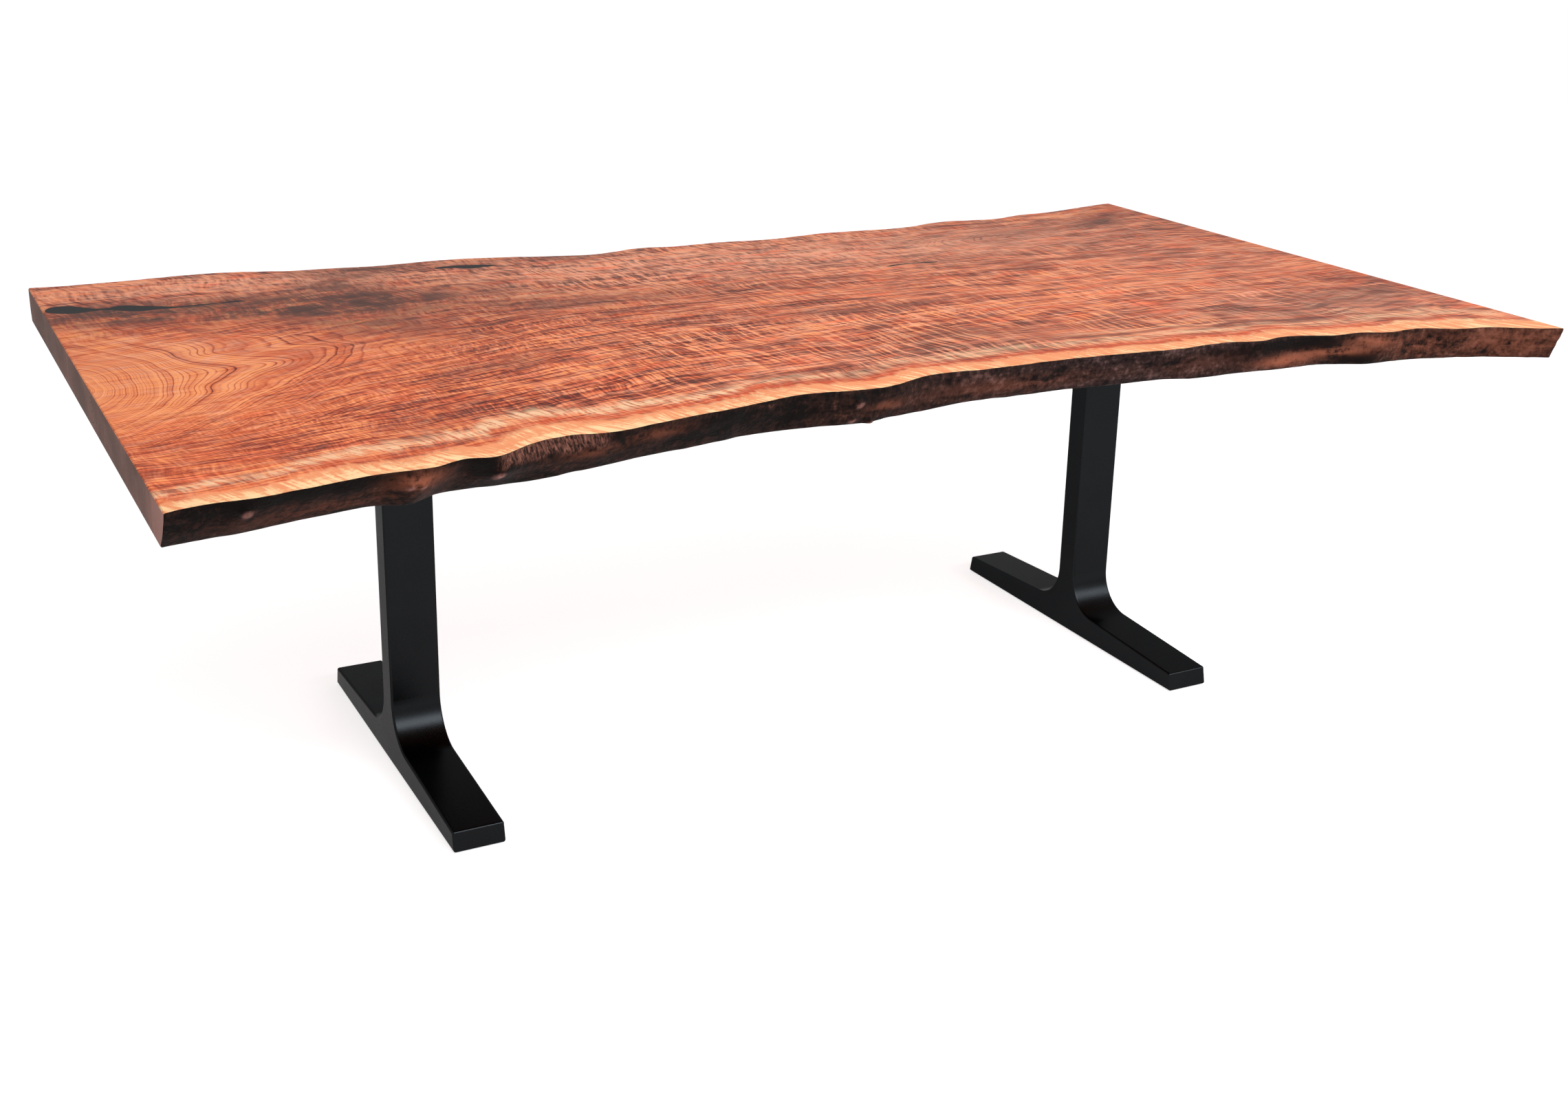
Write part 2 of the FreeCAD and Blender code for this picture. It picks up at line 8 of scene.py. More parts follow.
import bpy
import numpy as np
from bpy.props import FloatProperty, FloatVectorProperty, PointerProperty
from mathutils import Euler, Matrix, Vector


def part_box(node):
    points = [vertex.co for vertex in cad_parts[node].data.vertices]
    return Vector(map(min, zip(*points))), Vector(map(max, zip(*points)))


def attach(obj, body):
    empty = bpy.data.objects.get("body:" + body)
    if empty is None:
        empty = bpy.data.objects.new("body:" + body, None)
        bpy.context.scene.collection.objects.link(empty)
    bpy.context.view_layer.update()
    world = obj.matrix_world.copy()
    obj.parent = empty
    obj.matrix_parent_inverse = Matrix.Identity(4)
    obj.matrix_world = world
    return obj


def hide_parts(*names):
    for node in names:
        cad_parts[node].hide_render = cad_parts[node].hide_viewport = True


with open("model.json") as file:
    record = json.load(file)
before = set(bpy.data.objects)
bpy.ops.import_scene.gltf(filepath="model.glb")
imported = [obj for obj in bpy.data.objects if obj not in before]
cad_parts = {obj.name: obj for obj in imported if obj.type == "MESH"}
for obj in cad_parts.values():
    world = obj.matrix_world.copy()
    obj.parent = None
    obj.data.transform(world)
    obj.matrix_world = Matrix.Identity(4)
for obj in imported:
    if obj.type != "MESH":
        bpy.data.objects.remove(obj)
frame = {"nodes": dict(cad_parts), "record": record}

bl_info = {
    "name": "Live edge dining table",
    "version": (1, 0, 0),
    "blender": (4, 5, 0),
    "location": "3D View > Sidebar > Table",
    "description": "Dresses the packed table: figured slab, live edges, resin fills and black steel bases",
    "category": "Object",
}

TABLE_BODY = "table"
RESIN_NODES = ("end_void_resin", "back_void_resin", "crack_resin")
SLAB_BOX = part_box("slab")
LEFT, RIGHT = SLAB_BOX[0].x, SLAB_BOX[1].x
UNDERSIDE, TOP = SLAB_BOX[0].z, SLAB_BOX[1].z
THICKNESS = TOP - UNDERSIDE
FRONT, BACK = -1, 1

# Fineness of the slab's grid, whose edge rows close up towards the rims by a share, and of its fields and noise
STATIONS = 600
TOP_ROWS = 44
EDGE_ROWS = 28
ROW_CLOSING = 0.35
FIELD_STEPS = 400
LATTICE = 256
# Faces that meet at more than this many degrees keep a crisp edge
SHARP_ANGLE = 38

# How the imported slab's rims and voids are found
NEAR = 1e-4
EDGE_ZONE = 0.45
CUTTER_PROUD = 0.005

# Pith that the growth rings go round: its x and y in plan, and how it sinks away from the left end
PITH = ((-1.219, -0.105), (-0.96, -0.035), (-0.71, 0.045), (-0.4, 0.11), (0, 0.13), (0.6, 0.11),
        (1.219, 0.07))
PITH_SMOOTHING = 0.1
PITH_START = 0.035
PITH_DEPTH = 0.28
PITH_RUN = 0.11
PITH_SLOPE = 0.2
PITH_REST = 0.08

# The grain fans out from the pith and follows the rims
FAN_RISE = 0.1
FAN_RUN = (-1.1, -0.4)
FAN_REACH = 0.3
RIM_SMOOTHING = 0.12
RIM_REACH = 0.3
LEAN_REACH = 0.4

# Sapwood's width along the front edge, as x and the share its distances are multiplied by
SAP_SPREAD = ((-1.22, 1.25), (-1.05, 1.1), (-0.9, 0.8), (-0.65, 0.75), (-0.45, 1), (0.85, 1),
              (1.12, 0.64))

# Soft patches of the figure, under the attribute they make: x, y, half length, half width, turn, strength
FIGURE = {
    "smoke": (
        (-1.07, 0.365, 0.27, 0.075, -4, 0.85), (-1.13, 0.43, 0.16, 0.04, -8, 0.85),
        (-0.9, 0.34, 0.26, 0.09, -8, 0.6), (-0.7, 0.35, 0.2, 0.13, -10, 0.62),
        (-0.72, 0.15, 0.15, 0.085, -44, 0.66), (-0.48, 0.27, 0.2, 0.14, -20, 0.45),
        (-0.675, 0.53, 0.1, 0.075, 55, 0.7), (-0.56, 0.59, 0.17, 0.032, -8, 0.75),
        (-0.24, 0.57, 0.11, 0.03, -9, 0.9), (-0.21, 0.18, 0.25, 0.06, 2, 0.5),
        (1.06, 0.475, 0.045, 0.03, 10, 0.9), (1.1, 0.53, 0.13, 0.06, 30, 0.5),
        (1.13, 0.385, 0.045, 0.02, 15, 0.5), (0.85, 0.47, 0.16, 0.05, 8, 0.4),
        (1.08, -0.31, 0.17, 0.085, 0, 0.6), (0.1, -0.053, 0.17, 0.02, -2, 0.7),
        (0.75, -0.36, 0.22, 0.05, -10, 0.4), (0.195, -0.28, 0.18, 0.035, -4, 0.55),
        (-0.63, -0.175, 0.11, 0.03, 14, 0.6), (-0.148, -0.455, 0.09, 0.018, 12, 0.9),
        (0.25, -0.365, 0.16, 0.028, -4, 0.45), (0.42, 0.255, 0.1, 0.022, -8, 0.7),
        (-0.8, -0.43, 0.12, 0.06, 10, 0.35)),
    "glow": (
        (-1.135, -0.085, 0.24, 0.25, 10, 1), (-1.08, 0.59, 0.18, 0.045, -3, 0.5),
        (-0.06, 0.435, 0.3, 0.08, -3, 0.6), (0.39, 0.29, 0.17, 0.12, -6, 0.6),
        (0.11, -0.14, 0.36, 0.05, -2, 0.6), (0.77, -0.03, 0.28, 0.13, -4, 0.5),
        (1.05, 0.05, 0.16, 0.16, 0, 0.2), (0.39, 0.54, 0.12, 0.04, 0, 1),
        (1.02, 0.6, 0.17, 0.035, 12, 1), (0.23, 0.41, 0.1, 0.05, 30, 0.6), (-0.03, -0.145, 0.13, 0.03, 8, 0.6),
        (0.38, -0.13, 0.14, 0.03, -4, 0.6), (-0.42, 0.25, 0.13, 0.12, 0, 0.4),
        (-0.88, -0.43, 0.06, 0.05, 0, 0.5), (-0.92, 0.12, 0.12, 0.08, 6, 0.45)),
    "dusk": (
        (-0.95, 0.48, 0.05, 0.03, 0, 0.9), (-1.14, 0.47, 0.05, 0.025, 0, 0.6),
        (-0.82, 0.15, 0.09, 0.03, -28, 1), (-0.54, 0.545, 0.06, 0.03, 0, 1),
        (-0.34, 0.47, 0.06, 0.035, 0, 0.9), (0.06, 0.22, 0.06, 0.03, 0, 0.8),
        (0.17, 0.16, 0.12, 0.025, 0, 0.7), (0.05, 0.045, 0.1, 0.035, 10, 0.8), (0.28, 0.28, 0.06, 0.03, 0, 0.9),
        (0.52, 0.31, 0.06, 0.03, 0, 0.8), (0.59, 0.16, 0.06, 0.04, 0, 0.9),
        (1, 0.11, 0.1, 0.06, 10, 0.9), (1, 0.25, 0.12, 0.025, 8, 0.6),
        (-0.18, -0.425, 0.11, 0.03, 6, 1), (-0.68, -0.38, 0.14, 0.08, 0, 0.6),
        (-0.72, -0.225, 0.12, 0.02, 5, 0.7), (0.9, -0.3, 0.07, 0.04, 0, 0.8),
        (1.05, -0.45, 0.17, 0.025, -4, 0.9), (1.17, -0.19, 0.06, 0.1, 0, 0.9),
        (-1.04, 0.27, 0.08, 0.04, 0, 0.7), (-0.99, 0.345, 0.06, 0.03, 0, 0.6),
        (-1.18, -0.39, 0.06, 0.02, 0, 0.6), (-0.21, -0.22, 0.03, 0.05, 0, 0.6),
        (0.12, -0.37, 0.22, 0.05, -2, 0.6), (-0.92, -0.17, 0.04, 0.1, -20, 0.5)),
    "curl": (
        (-0.3, -0.25, 0.34, 0.25, 0, 0.9), (0.12, -0.26, 0.26, 0.2, 0, 1),
        (0.1, -0.37, 0.26, 0.07, 0, 0.7), (-0.25, 0.33, 0.38, 0.22, 0, 0.8),
        (0.4, -0.33, 0.26, 0.15, -6, 0.6), (0.8, -0.28, 0.28, 0.16, -8, 0.5),
        (0.6, 0.1, 0.4, 0.18, 0, 0.4)),
    "weave": (
        (-0.85, -0.36, 0.34, 0.17, 10, 1), (-0.46, -0.2, 0.3, 0.28, 0, 1),
        (-0.45, 0.12, 0.28, 0.16, 0, 0.7), (0, -0.1, 0.3, 0.16, 0, 0.5)),
    "rings": (
        (-1.08, -0.06, 0.3, 0.3, 10, 1), (-0.95, -0.34, 0.26, 0.14, 14, 0.5),
        (-0.78, 0.03, 0.2, 0.1, 12, 0.45), (0.15, -0.17, 0.45, 0.1, -2, 0.4),
        (0.62, 0.4, 0.24, 0.12, -6, 0.45), (-0.95, 0.13, 0.18, 0.06, 8, 0.5)),
    "arch": (
        (-1.14, -0.05, 0.3, 0.28, 12, 1.2), (-0.8, 0.03, 0.18, 0.09, 14, 0.4),
        (0.62, 0.4, 0.22, 0.11, -6, 0.7)),
    "tan": (
        (-0.95, 0.56, 0.45, 0.12, 0, 0.9), (-0.1, 0.42, 0.6, 0.2, -4, 0.8),
        (0.75, 0.42, 0.55, 0.22, 0, 0.7), (0.95, -0.35, 0.35, 0.14, -10, 0.7), (0.1, -0.38, 0.35, 0.08, 0, 0.5),
        (1.05, 0.05, 0.25, 0.2, 0, 0.35), (0, -0.08, 0.45, 0.25, 0, 0.3),
        (0.7, 0, 0.4, 0.25, 0, 0.22), (-1.05, 0.1, 0.25, 0.15, 0, 0.3)),
    "stripes": (
        (0.58, -0.43, 0.4, 0.085, -10, 1), (1.02, -0.39, 0.24, 0.12, -4, 0.9),
        (0.16, -0.43, 0.22, 0.05, 3, 0.5)),
}
# Place where the rings come nearer the top, written as the patches are
EYE = (1, 0.4, 0.42, 0.1, -6, 0.26)

# Paler and darker places on the front edge, some of the darker ones painted shade beside the knots: x, share of
# the height, half length, half height, strength
EDGE_PLACES = {
    "pale_bark": (
        (1.14, 0.45, 0.14, 0.6, 0.45), (0.87, 0.28, 0.05, 0.16, 0.8), (0.7, 0.74, 0.06, 0.16, 1.1),
        (0.79, 0.55, 0.07, 0.12, 1), (0.97, 0.55, 0.06, 0.3, 0.3), (-0.885, 0.3, 0.035, 0.22, 0.9),
        (-0.52, 0.3, 0.05, 0.16, 0.45), (-0.62, 0.45, 0.04, 0.15, 0.4), (-0.11, 0.55, 0.03, 0.14, 0.45),
        (0.5, 0.55, 0.1, 0.3, 0.15), (-1, 0.7, 0.12, 0.22, 0.3), (0.15, 0.6, 0.16, 0.25, 0.3)),
    # Dark patches of the bark; the last three, just above and left of three knots, are painted shade
    "dark_bark": (
        (0.752, 0.22, 0.06, 0.2, 1), (0.842, 0.78, 0.05, 0.22, 1), (1.02, 0.2, 0.03, 0.12, 0.7),
        (0.6, 0.35, 0.08, 0.3, 0.6), (-1.03, 0.15, 0.1, 0.16, 0.8), (-0.8, 0.2, 0.03, 0.2, 0.8),
        (-0.35, 0.4, 0.14, 0.4, 0.4), (-1.13, 0.2, 0.016, 0.14, 0.9), (-0.915, 0.24, 0.016, 0.14, 0.9),
        (-0.788, 0.38, 0.016, 0.14, 0.9)),
}
# Knots and torn bark are only coloured this near the front rim
FRONT_BAND = 0.08

# Knots on the front edge: x, share of the edge's height below the top rim, radius, height
KNOTS = (
    (-1.116, 0.33, 0.013, 0.009), (-0.899, 0.38, 0.01, 0.008), (-0.881, 0.42, 0.009, 0.008),
    (-0.77, 0.5, 0.014, 0.0095), (-0.163, 0.33, 0.0105, 0.01), (-0.17, 0.8, 0.0095, 0.0085),
    (-0.137, 0.95, 0.0105, 0.01),
)
# A knot's swelling and its nub: share of its height and share of its radius
KNOT_FORMS = ((0.4, 2.6), (0.95, 0.7))
# A knot's pale tip, worn wood with a painted highlight: how far below the nub, its share of the radius, the
# heights where it starts and is full
TIP_DROP, TIP_SHARE, TIP_START, TIP_FULL = 0.07, 0.55, 0.0022, 0.0077

# Live edge: each noise's lump along and down and where it starts, then where the edge is rougher and flat
EDGE_SEEDS = {FRONT: 11, BACK: 51}
EDGE_NOISE = {"waves": (0.085, 0.06, 40), "lumps": (0.024, 0.019, 90), "ripples": (0.01, 0.009, 140)}
ROUGH_RUN, ROUGH_START, ROUGH_GAIN = (0.75, 1), 0.6, 0.9
FLAT_RUN = (1.05, 1.2)
RIM_SHARE = 0.02

# Torn bark on the front edge: where it rises and falls along x, its ragged lower end, and its hump
TORN_RISE, TORN_FALL = (-0.785, -0.755), (-0.618, -0.588)
TORN_DEPTH, TORN_RAGGED, TORN_FADE = 0.24, 0.1, 0.14
TORN_STEP, TORN_SEED = 0.012, 31
HUMP_ALONG = ((-0.795, -0.745), (-0.638, -0.568))
HUMP_DOWN = ((0, 0.28), (0.35, 1))

# Wander of the grain: lumps to the metre each way and height. Kink of the rings, in the same way
WANDER = (((2.4, 4.5, 5), 0.06), ((9, 7, 8), 0.022), ((26, 30, 40), 0.006))
KINK, KINK_DETAIL, KINK_HEIGHT = (5, 10, 8), 0.6, 0.066
# Drift of the rings' width with the radius, and the stride by which each ring's strength is drawn
DRIFT_DENSITY, DRIFT_TURNS = 22, 2
RING_STRIDE = 3.7

# Streaks that run along the grain: whether they go round the pith, lumps to the metre along and across, detail
STREAKS = {"Ringed": (True, 1.8, 66, 3), "Drawn": (False, 8.5, 50, 3),
           "Thread": (False, 12, 250, 2), "Fibre": (False, 9, 420, 2)}
STREAK_ROUGHNESS = 0.55

# The speckle's tone is read from its place shrunk by this
SPECKLE_BROADER = (0.02, 0.02, 0.02)

# Noises of the figure: lumps to the metre along and across, seed, detail, roughness, distortion
CLOUDS = {"cloud": (3, 10, 5, 3, 0.55, 0.3), "spots": (7.5, 27, 3, 3, 0.6, 0.5),
          "gleams": (9, 24, 9, 3, 0.6, 0.5), "cast": (21, 58, 13, 4, 0.65),
          "blush": (9, 36, 17, 4, 0.65)}
LEANING = {"strokes": (125, 9), "dashes": (220, 44, 0, 1), "hatch": (105, 26, 21, 2, 0.55)}
SLANTING = {"comb": (165, 15, 0, 2, 0.55), "coarse": (60, 12)}
STRIPE = (3.4, 62, 7, 3, 0.55, 0.2)
SEAM = (5, 135, 11, 2, 0.5, 0.3)

# How far strokes lean and slant, and how they sway. Lumps to the metre each way of the other noises
LEAN, SLANT = 0.14, 0.42
SWAY, SWAY_WIDTH = (7, 9, 1), 0.05
CURL_PATCH = (5, 9, 1)
MOTTLE = (13, 20, 1)
RIM_DRIFT = (11, 3, 1)
END_CLOUD, END_WAVER = (6, 9, 14), 0.4

# Noises of the live edge: lumps to the metre each way, detail, roughness, distortion
EDGE_LUMPS = {"cloud": ((11, 11, 26), 4, 0.62), "drawn": ((22, 22, 130), 3, 0.6),
              "lumpy": ((70, 70, 75), 3, 0.6), "grit": ((150, 150, 110), 2, 0.6),
              "wrinkle": ((300, 60, 120), 3, 0.6, 0.5)}

# Lamps: sides, place, turn about X and Y in degrees, tint, and whether it lights or is only mirrored
LAMPS = {
    "softbox": ((3.6, 3.6), (-1.1, -0.8, 3.4), (-14, -18), (1, 1, 1), True),
    "strip": ((4.8, 1.15), (1.15, -2.5, 2.3), (48, 0), (0.88, 0.94, 1), True),
    "sheen": ((4.8, 1.9), (1.15, -2.6, 2.4), (48, 0), (0.84, 0.93, 1), False),
}

# Steps: from one value to another, and what is given at each end (0 and 1 where it isn't said)
STEPS = {
    "late_wood": (0.58, 0.9), "ring_end": (0.92, 1, 1, 0), "uneven_rings": (0.32, 0.68, 0.12, 1),
    "smudge": (0.48, 0.72), "gleam": (0.52, 0.76), "curl_patch": (0.3, 0.68, 0.15, 1.2),
    "strokes": (0.46, 0.62, -0.45, 0.9), "threads": (0.4, 0.54, -1, 0.25),
    "hatched_back": (0, 0.4, 0, 1.6), "hatched_left": (0.4, 0.8, 1, 0.3),
    "cast_right": (-1, -0.3, 0.1, 0.23), "cast": (-0.1, 1.1), "blush": (0.48, 0.66, 0, 0.6),
    "brown_stripes": (0.36, 0.5, 0.75, 0), "tan_stripes": (0.52, 0.66, 0, 0.5),
    "stain": (0.4, 0.57, 0.3, 1), "deep_smoke": (0.7, 1), "char": (0.43, 0.6, 0.05, 0.55),
    "seam": (0.55, 0.68, 0, 0.55), "broken": (0.36, 0.7, 1, 0.4), "dusty_left": (-0.5, -0.1, 1.35, 0.75),
    "grey_comb": (0.4, 0.57, 0.2, 1), "thin_red": (0.34, 0.56, 0.4, 0.95), "broad_red": (0.38, 0.62, 0.05, 0.55),
    "far_right": (0.82, 1), "red_far": (0, 1, 1, 0.15), "red_left": (-0.6, -0.35, 0.4, 1),
    "cream_left": (-0.6, -0.1, 0.7, 0.42), "cream": (0.15, 0.95),
    # The live edge's tone offset rises towards the right: painted light from the right
    "lumps_right": (0.6, 1, 0.35, 0.7), "edge_painted_light": (-0.4, 0.4, -0.325, -0.25), "worn": (0.62, 0.86),
    "ribs": (0.35, 0.6, 0.55, 1), "end_corner": (-0.66, -0.5, 0.38, 0),
}

# Bands along the front rim, in widths of the sapwood: middle and half width. Then where the sapwood fades
BANDS = {"seam": (0.85, 0.45), "grey": (1.72, 0.55), "thin": (1.06, 0.22), "broad": (1.28, 0.36),
         "teeth": (0.95, 0.25)}
CREAM_END, CREAM_LEFT = 0.9, 0.18
SAP_FADE, SAP_COVER = (0.78, 1.04), 0.95

# Mauve cast of the live edge: its middle and reach along x
MAUVE = (0.35, 0.6)

# Rows of colours, by the name of the setting and its place in the row
RAMPS = {
    "heartwood": {"heart_deep": 0.02, "heart_dark": 0.3, "heart": 0.58, "heart_pale": 0.92},
    "live_edge": {"bark_dark": 0.38, "bark": 0.54, "bark_pale": 0.8},
    "fibres": {"bark_dark": 0.25, "bark": 0.42, "bark_pale": 0.64, "torn": 0.95},
    "sawn_end": {"smoke": 0.1, "end_grain": 0.5, "end_pale": 0.95},
}

# Speckled finishes: grain, share of the fleck, roughness by tone and by height, bump's strength and depth,
# and what is the same all over
FINISHES = {
    "black_resin": (0.003, 1, 0.12, 0, 0, 0, {"Specular IOR Level": 0.02}),
    "black_powder_coat": (0.0016, 1, 0.1, 0.06, 0.25, 0.0003,
                          {"Metallic": 1, "Specular Tint": (0.5, 0.5, 0.5, 1)}),
    "zinc_plate": (0.0008, 0.35, 0.2, 0, 0.15, 0.0002, {"Metallic": 1}),
    "turned_brass": (0.0008, 0.35, 0.2, 0, 0.15, 0.0002, {"Metallic": 1}),
    "black_nylon": (0.0007, 1, 0.15, 0, 0.3, 0.0002, {}),
}

# Stage, and the slab's material slots after the first
WHITE = (1.0, 1.0, 1.0, 1.0)
SENSOR_WIDTH = 36
CLIPPING = (0.05, 100)
FLOOR_ROUGHNESS = 0.9
EDGE_SLOT, END_SLOT = 1, 2


def colour(name, description, *shown):
    """Colour property, its default written as a screen shows it: red, green and blue from 0 to 255, turned into
    a shader's linear colour."""
    shown = np.array(shown) / 255
    linear = np.where(shown <= 0.04045, shown / 12.92, ((shown + 0.055) / 1.055) ** 2.4)
    return FloatVectorProperty(name=name, description=description, subtype="COLOR", size=4, min=0, max=1,
                               default=(*map(float, linear), 1.0))


def length(name, description, default):
    """Length property in metres."""
    return FloatProperty(name=name, description=description, default=default, min=0, unit="LENGTH",
                         precision=4)


def share(name, description, default):
    """Property that runs from 0 to 1."""
    return FloatProperty(name=name, description=description, default=default, min=0, max=1, subtype="FACTOR")


def power(name, description, default):
    """Power property of a lamp, in watts."""
    return FloatProperty(name=name, description=description, default=default, min=0, unit="POWER")


class SlabSettings(bpy.types.PropertyGroup):
    """Sizes and colours of the slab"""
    bulge: length("Edge bulge", "How far a live edge swells between its rims", 0.004)
    waves: length("Edge waves", "Height of a live edge's broad waves", 0.0022)
    lumps: length("Edge lumps", "Height of a live edge's lumps", 0.0013)
    ripples: length("Edge ripples", "Height of a live edge's small ripples", 0.0006)
    ease: length("Rim ease", "How far the live edges' rims are eased", 0.0012)
    arris: length("End arris", "Chamfer around the sawn ends", 0.0015)
    torn_bulge: length("Torn bark bulge", "How far the torn bark stands out below the rim", 0.014)
    ring_width: length("Ring width", "Distance between growth rings", 0.0074)
    sap_width: length("Sapwood width", "Width of the pale band along the front edge", 0.054)
    heart_deep: colour("Deep heartwood", "Darkest figure of the heartwood", 86, 31, 23)
    heart_dark: colour("Dark heartwood", "Red-brown figure of the heartwood", 152, 58, 38)
    heart: colour("Heartwood", "Most of the heartwood", 217, 103, 62)
    heart_pale: colour("Pale heartwood", "Orange lights of the heartwood", 255, 161, 101)
    heart_tan: colour("Tan heartwood", "Paler cast of the heartwood", 205, 142, 116)
    sapwood: colour("Sapwood", "Palest wood along the front edge", 255, 214, 160)
    sap_orange: colour("Orange sapwood", "Most of the band along the front edge", 240, 152, 104)
    sap_red: colour("Red line", "Red zone between sapwood and heartwood", 204, 84, 52)
    sap_grey: colour("Grey band", "Greyish band inside the red line", 244, 194, 152)
    smoke: colour("Smoke", "Grey-brown staining", 108, 70, 60)
    bark: colour("Live edge", "Most of the live edge", 48, 30, 25)
    bark_dark: colour("Dark live edge", "Darkest patches of the live edge", 17, 12, 11)
    bark_pale: colour("Pale live edge", "Bare lumps of the live edge", 124, 79, 66)
    bark_ochre: colour("Ochre live edge", "Worn places of the live edge", 148, 84, 62)
    bark_mauve: colour("Mauve live edge", "Cast of the live edge in the middle", 112, 84, 80)
    torn: colour("Torn bark", "Fibres of the torn bark", 172, 118, 107)
    end_grain: colour("End grain", "Sawn ends", 96, 66, 56)
    end_pale: colour("Pale end grain", "Front corner of the sawn ends", 182, 130, 118)


class ResinSettings(bpy.types.PropertyGroup):
    """Finish of the resin fills"""
    resin: colour("Resin", "Colour of the casting resin", 16, 15, 16)
    cloud: colour("Resin cloud", "Colour of the resin's paler clouds", 36, 33, 34)
    roughness: share("Resin roughness", "How dull the sanded resin is where it is glossiest", 0.38)


class SteelSettings(bpy.types.PropertyGroup):
    """Finishes of the bases and their fittings"""
    coat: colour("Powder coat", "Colour of the bases' powder coat", 25, 26, 27)
    coat_fleck: colour("Powder coat fleck", "Colour of the powder coat's paler flecks", 30, 31, 32)
    coat_roughness: share("Powder coat roughness", "How dull the powder coat is where it is glossiest", 0.20)
    zinc: colour("Zinc plate", "Colour of screws, washers, nuts and studs", 176, 178, 182)
    brass: colour("Brass", "Colour of the threaded inserts", 206, 168, 96)
    tarnish: colour("Tarnish", "Colour of dull places on zinc and brass", 120, 118, 112)
    metal_roughness: share("Metal roughness", "How dull zinc and brass are where they are glossiest", 0.26)
    nylon: colour("Nylon", "Colour of the leveller pads", 30, 30, 31)
    nylon_fleck: colour("Nylon fleck", "Colour of the pads' paler flecks", 44, 44, 45)
    nylon_roughness: share("Nylon roughness", "How dull the pads are where they are glossiest", 0.48)


class StageSettings(bpy.types.PropertyGroup):
    """Camera, light and floor"""
    camera_place: FloatVectorProperty(name="Camera place", description="Where the camera stands",
                                      subtype="XYZ", unit="LENGTH", default=(-1.55392, -2.90476, 1.52176))
    camera_turn: FloatVectorProperty(name="Camera turn", description="Camera's turn about X, Y and Z",
                                     subtype="EULER",
                                     default=tuple(map(math.radians, (72.179, -1.4079, -27.9811))))
    lens: FloatProperty(name="Lens", description="Focal length in millimetres, for the sensor's width",
                        default=42.768)
    shift: FloatVectorProperty(name="Shift", description="Shift of the picture, as a share of its width",
                               size=2, default=(-0.00922, -0.06402))
    floor_size: length("Floor size", "Side of the square floor", 80.0)
    floor: colour("Floor", "Colour of the floor", 226, 226, 226)
    floor_lift: FloatProperty(name="Floor lift", description="Light added to the floor where it is seen",
                              default=0.70)
    sky: FloatProperty(name="Sky", description="Strength of the even light all round", default=0.42)
    softbox_power: power("Softbox power", "Power of the light overhead", 27)
    strip_power: power("Strip power", "Power of the long light in front", 100)
    sheen_power: power("Sheen power", "Power of the panel mirrored in the bases", 150)


SETTINGS = {"table_slab": SlabSettings, "table_resin": ResinSettings, "table_steel": SteelSettings,
            "table_stage": StageSettings}


